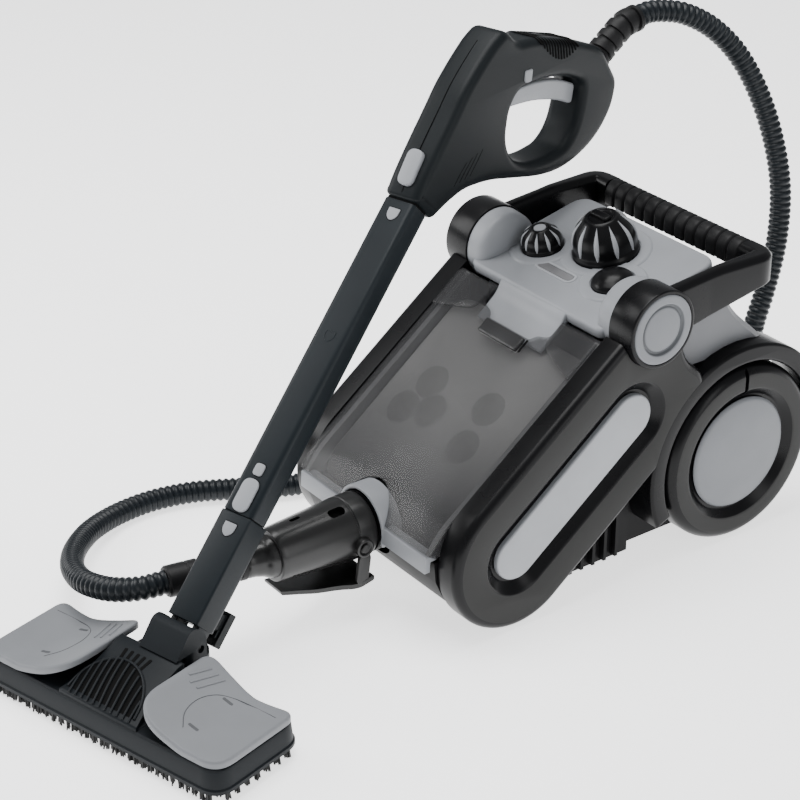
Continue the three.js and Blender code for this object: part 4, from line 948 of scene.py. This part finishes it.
# ---- wand tube ----
def tube_section(front, back):
    corners = [[-19.5, -17.5, front], [19.5, -17.5, front], [19.5, 17.5, back], [-19.5, 17.5, back]]
    return rounded(corners, step=1)


def front_face(along):
    """A frame on the tube's front face: x across, y up the tube, +Z straight out."""
    return TUBE @ shift(0, -17.5, along) @ spun("X", math.pi / 2)


def d_shape(half):
    """A tab with a flat top edge and a round lower end."""
    shoulder, bend = -half * 0.3, half * 0.9
    corners = [[-half, half, 1], [half, half, 1], [half, shoulder, bend]]
    corners += [[0, -half * 1.1, half], [-half, shoulder, bend]]
    return rounded(corners, step=0.6)


def fitted(name, node, outline, along, proud):
    """A silver piece on the tube's front face, in a dark well a little wider than itself."""
    outline = counter_clockwise(outline)
    well = slab(f"{name}_well", front_face(along), inset(outline, -0.9), [(-3, 0), (0.12, 0)], VOID_BLACK)
    settle(well, "upper_tube")
    levels = rounding(-1, proud, 0, min(1, proud * 0.6))
    settle(slab(f"{name}_face", front_face(along), outline, levels, SILVER), node, node)


def tube():
    upper = slab("tube_shell", TUBE, tube_section(6, 17), rounding(130.6, 487.7, 1.2, 0.8), TUBE_BLACK)
    settle(upper, "upper_tube", "upper_tube")
    core = inset(counter_clockwise(tube_section(6, 17)), 1.2)
    for low, high, name in ((128, 131.4, "lower"), (486, 490, "upper")):
        settle(prism(f"{name}_tube_bead", TUBE, core, low, high, VOID_BLACK), "upper_tube")
    neck = slab("neck_shell", TUBE, tube_section(2.5, 8), rounding(14, 129.8, 1, 1.2), TUBE_BLACK)
    settle(neck, "lower_neck", "lower_neck")
    tip = capsule((0, -4), (0, 18), 10.5)
    for x, name in ((10.3, "right"), (-18.3, "left")):
        ear = slab(f"neck_ear_{name}", TUBE @ ALONG_X, tip, rounding(x, x + 8, 1, 1), TUBE_BLACK)
        settle(ear, "lower_neck")

    fitted("oval_button", "tube_release", rectangle(10, 18, 10), 150, 2.2)
    fitted("small_slider", "tube_slider", rectangle(6, 6.5, 4), 178.5, 1.4)
    fitted("top_catch", "upper_catch", d_shape(7), 471, 1.0)
    fitted("bottom_catch", "lower_catch", d_shape(7.5), 112, 1.0)
    levels = rounding(-0.5, 0.35, 0, 0.2)
    mark = slab("tube_mark", front_face(330), d_shape(6.5), levels, TUBE_BLACK, holes=[d_shape(5.2)])
    settle(mark, "upper_tube")
    dress("parking_hook", SATIN_BLACK, 1.0)
    dress("neck_pin", STEEL)
    for k in range(3):
        outline = rectangle(1.2, 2.2, 0.4, 9.5 - 9.5 * k, 32.8)
        settle(slab(f"hook_rib_{k}", TUBE, outline, rounding(13, 21), SATIN_BLACK), "parking_hook")


tube()

# ---- steam gun ----
GUN_OUTLINE = [
    [338, 426, 4], [351, 445, 20], [375, 473, 20], [401, 501, 20], [419, 522, 20], [444, 543, 20],
    [466, 559, 14], [484, 567, 8], [496, 561, 8], [508, 548, 10], [549, 543, 30], [592, 530, 30],
    [632, 515, 30], [667, 500, 12], [699, 454, 10], [692, 426, 20], [672, 404, 20], [648, 390, 20],
    [616, 381, 30], [586, 379, 30], [552, 384, 30], [508, 396, 30], [464, 408, 30], [420, 412, 20],
    [392, 406, 20], [366, 397, 4],
]
FINGER_HOLE = [
    [497, 478, 14], [491, 446, 16], [502, 422, 18], [526, 408, 20], [560, 402, 30], [598, 404, 30],
    [618, 420, 20], [627, 444, 16], [632, 470, 12], [600, 486, 20], [556, 494, 20], [512, 494, 14],
]


def gun():
    side_on = WAND @ ALONG_X
    body = slab(
        "gun_shell",
        side_on,
        rounded(GUN_OUTLINE, step=2),
        rounding(-23, 23, 10, 10, 7),
        SATIN_BLACK,
        holes=[rounded(FINGER_HOLE, step=2)],
        smooth=60,
    )
    front_edge = WAND @ shift(0, 357, 452) @ spun("X", math.atan2(50, 38))
    carve(body, cutter(front_edge, rectangle(10.2, 20.2, 10.2), -6, 6, VOID_BLACK))
    settle(body, "gun_body", "gun_body")
    trigger_line = [[496, 490, 4], [556, 489, 20], [600, 480, 20], [640, 462, 6], [642, 452, 5]]
    trigger_line += [[628, 443, 6], [600, 456, 20], [556, 468, 20], [500, 474, 4]]
    trigger_levels = rounding(-8.5, 8.5, 3, 3)
    trigger = slab("trigger_bar", side_on, rounded(trigger_line), trigger_levels, SILVER_LIGHT, smooth=60)
    settle(trigger, "gun_trigger", "gun_trigger")
    lock_line = rounded([[-7, -7, 6], [5, -7, 2], [7, 6, 2], [-6, 7, 3]], step=0.6)
    lock = slab("lock_face", side_on @ shift(524, 508, 0), lock_line, rounding(15.5, 24.6, 0, 1.2), SILVER)
    settle(lock, "gun_lock", "gun_lock")
    release_levels = rounding(-2, 4.2, 0, 1.6)
    release = slab("release_face", front_edge, rectangle(9.6, 19.6, 9.6), release_levels, SILVER)
    settle(release, "gun_release", "gun_release")
    gun_lines()


def gun_lines():
    """The parting seam down the front, four fine lines on the side and the grooves over the grip."""
    seam = [(0, 341.2, 430.6), (0, 350.3, 444), (0, 374.6, 473), (0, 400.5, 501)]
    seam += [(0, 419, 521.6), (0, 443.6, 542.6), (0, 465, 558)]
    settle(thread("gun_seam", WAND, seam, 0.45, VOID_BLACK), "gun_body")
    for i in range(4):
        y = 9 * i
        line = [(22.9, 398 + y, 424 + i), (23, 408 + y, 434 + i), (22.9, 420 + y, 444 + 2 * i)]
        settle(thread(f"gun_line_{i}", WAND, line, 0.35, VOID_BLACK), "gun_body")
    for i in range(14):
        y = 543 + 5.2 * i
        top = 543.6 - (y - 543) * 0.3
        deep = 20 * math.sin(math.pi * (i + 1.2) / 15.4) + 3
        lift = 1 - math.sin(math.acos(max(-1, min(1, 1 - deep / 10))))
        reach = 23 - 10 * lift if deep < 10 else 23
        line = [(reach, y + 5, top - deep), (21.5, y + 2, top - 4.2), (13, y, top - 0.1)]
        far_side = [(-across, along, up) for across, along, up in line[::-1]]
        line += [(0, y - 1, top + 0.4), *far_side]
        settle(thread(f"grip_groove_{i}", WAND, line, 1.15, VOID_BLACK), "gun_body")


gun()

# ---- floor brush ----
BRUSH_X, BRUSH_Y = -12, -56


def hub_roof(y):
    """Height of the hub's upper face."""
    return 42 + 28 * min(1, max(0, (y + 110) / 74))


def on_roof(points, lift):
    """Points (x, y) of the hub laid on its roof."""
    return [(x, y, hub_roof(y) + lift) for x, y in points]


def brush():
    levels = [(12, 0), (12.6, -0.8), (16.5, -0.8), (18, 0.8), (34, 2.4), (36.6, 3.4), (38, 5.6)]
    body = slab("brush_shell", WAND @ shift(BRUSH_X, BRUSH_Y, 0), rectangle(161, 60, 24), levels, BRUSH_BLACK)
    settle(body, "brush_base", "brush_base")
    middle = WAND @ shift(BRUSH_X, 0, 0)
    hub_line = [[-111, 34, 1], [-111, 42, 3]]
    hub_line += [[y, hub_roof(y)] for y in range(-106, -40, 5)]
    hub_line += [[-32, 70, 2], [-31, 50, 0.5], [8, 50, 4], [8, 34, 1]]
    hub = prism("brush_hub", middle @ ALONG_X, rounded(hub_line, step=1), -52, 52, BRUSH_BLACK)
    waist = rounded([[75, -130], [75, 30], [41.5, 30], [41.5, -76, 20], [53, -113], [53, -130]])
    carve(hub, *[cutter(middle @ turn, waist, 38.5, 90, BRUSH_BLACK) for turn in (Matrix(), MIRROR)])
    bevelled(hub, 2, math.radians(40))
    settle(applied(hub), "brush_base")


def grille():
    """On the hub's roof: a half-round dark floor with eleven fins and a rim, and five slits above it."""

    def lean(points):
        """The fan's own outline, leaning to the left as it rises."""
        return [(BRUSH_X - 0.5 + x - 0.16 * (y + 108), y) for x, y in points]

    half_round = arc(0, -108, 45, 4, 176, 44)
    rim = lean([(p.x, -108 + (p.y + 108) * 1.15) for p in half_round])
    verts = [WAND @ Vector(p) for p in on_roof(rim, 0.3) + on_roof(rim, -3)]
    count = len(rim)
    faces = [(i, i + 1, count - 2 - i, count - 1 - i) for i in range(count // 2 - 1)]
    faces += [tuple(count + i for i in face[::-1]) for face in faces]
    faces += [(i, i + 1, count + i + 1, count + i) for i in range(count - 1)]
    faces.append((count - 1, 0, count, 2 * count - 1))
    settle(new_object("fan_floor", verts, faces, [VOID_BLACK]), "brush_base")
    for i in range(11):
        x = -40 + 8 * i
        top = -108.6 + 1.15 * math.sqrt(max(1, 44.5**2 - x**2))
        line = []
        for k in range(9):
            y = -109.5 + (top + 109.5) * k / 8
            bow = 8 * math.sin(math.pi * 0.5 * k / 8)
            line.append((x - bow * (1 - abs(x) / 52) + 1, y))
        settle(thread(f"fan_fin_{i}", WAND, on_roof(lean(line), 1.1), 1.35, BRUSH_BLACK), "brush_base")
    settle(thread("fan_rim", WAND, on_roof(rim[::4], 0.6), 1.5, BRUSH_BLACK), "brush_base")
    for i in range(5):
        x = -17 + 8.5 * i
        at = WAND @ shift(BRUSH_X + x * 0.9 - 6, -52, hub_roof(-52)) @ spun("Z", math.radians(-x * 0.6))
        face = at @ spun("X", math.atan2(28, 74))
        settle(prism(f"hub_slit_{i}", face, rectangle(1.8, 7.5, 1.2), -2, 0.35, VOID_BLACK), "brush_base")


def pad_rise(x):
    """Lift of the pad towards its inner end."""
    share = min(1, max(0, (101 - x) / 71))
    return 23 * share**1.3


def bent(name, place, made):
    """Bends a flat piece made in the pad's own frame, and puts it in place."""
    shape = bmesh.new()
    shape.from_mesh(made.data)
    for x in range(36, 104, 4):
        everything = [*shape.verts, *shape.edges, *shape.faces]
        bmesh.ops.bisect_plane(shape, geom=everything, plane_co=(x, 0, 0), plane_no=(1, 0, 0))
    for vert in shape.verts:
        vert.co.z += pad_rise(vert.co.x)
        vert.co = place @ vert.co
    bmesh.ops.recalc_face_normals(shape, faces=shape.faces)
    shape.to_mesh(made.data)
    shape.free()
    smooth_by_angle(made.data, 32)
    made.name = name
    return made


def pads():
    """Both pads, each with two slots, a curved line and three ribs."""
    corners = [[32.8, -112, 40], [146, -112, 24], [146, -1.5, 14], [104, -8.5, 24], [32.8, 1.5, 16]]
    levels = rounding(38.3, 46.6, 1, 3.2, 5)
    own = Matrix()
    for place, name in ((WAND, "right"), (WAND @ shift(2 * BRUSH_X, 0, 0) @ MIRROR, "left")):
        node = f"{name}_brush_pad"
        plate = slab("pad", own, rounded(corners), levels, PAD_GREY)
        settle(bent(f"{name}_pad_plate", place, plate), node, node)
        for i, (x, y) in enumerate(((86, -32), (88, -82))):
            slot = prism("slot", own, rectangle(6, 1.7, 1.4, x, y), 44, 46.75, PAD_LINE)
            settle(bent(f"{name}_pad_slot_{i}", place, slot), node)
        line = [(136, -20), (108, -20), (88, -24), (74, -34), (67, -52), (70, -74), (82, -90)]
        raised = [(x, y, 46.55 + pad_rise(x)) for x, y in line]
        settle(thread(f"{name}_pad_line", place, raised, 0.45, PAD_LINE), node)
        for i in range(3):
            rib = []
            for back in range(0, 27 + 4 * i, 6):
                x = 45 + 8.5 * i + 4 - back * 0.3
                rib.append((x, -14 - back, 46.4 + pad_rise(x)))
            settle(thread(f"{name}_pad_rib_{i}", place, rib, 1.3, PAD_GREY), node)


def bristles():
    """Tufts of stiff bristles, in rows under the whole brush."""
    dice = random.Random(11)
    place = WAND @ shift(BRUSH_X, BRUSH_Y, 0)
    spots = []
    for row in range(9):
        y = -55.5 + 111 * row / 8
        half = 158.5 - (13 if abs(y) > 45 else 3)
        number = round(2 * half / 9.5)
        spots += [(-half + 2 * half * k / number, y) for k in range(number + 1)]
    verts, faces = [], []
    for x, y in spots:
        for _ in range(12):
            turn = dice.uniform(0, 2 * math.pi)
            root = Vector((x + dice.uniform(-2.6, 2.6), y + dice.uniform(-2.2, 2.2), 13))
            tip = root + Vector((1.6 * math.cos(turn), 1.6 * math.sin(turn), 0)) * dice.uniform(0.2, 1.4)
            tip.z = dice.uniform(0.2, 2.4)
            first = len(verts)
            for at, radius in ((root, 1.15), (tip, 0.9)):
                for k in range(4):
                    a = turn + k * math.pi / 2
                    verts.append(place @ (at + Vector((radius * math.cos(a), radius * math.sin(a), 0))))
            faces.append((first + 3, first + 2, first + 1, first))
            faces.append((first + 4, first + 5, first + 6, first + 7))
            for k in range(4):
                m = (k + 1) % 4
                faces.append((first + k, first + m, first + 4 + m, first + 4 + k))
    mesh = bpy.data.meshes.new("brush_tufts")
    mesh.from_pydata(verts, [], faces)
    mesh.materials.append(BRISTLE)
    settle(linked("brush_tufts", mesh), "brush_bristles", "brush_bristles")


brush()
grille()
pads()
bristles()

# ---- CAD nodes shown as they are ----
dress("base_pan", PAN_BLACK, 1.0)
dress("rear_housing", HOUSING_GREY, 1.0)
dress("brush_knuckle", BRUSH_BLACK, 0.6)
dress("castor_fork", SATIN_BLACK, 0.5)
dress("castor_wheel", RUBBER, 0.5)
dress("rear_axle", STEEL)
dress("hose_socket", PAN_BLACK)
dress("water_pump", STEEL)
dress("steam_pipe", STEEL)
dress("control_board", CIRCUIT)
dress("steam_boiler", STEEL)
dress("heater_plate", STEEL)
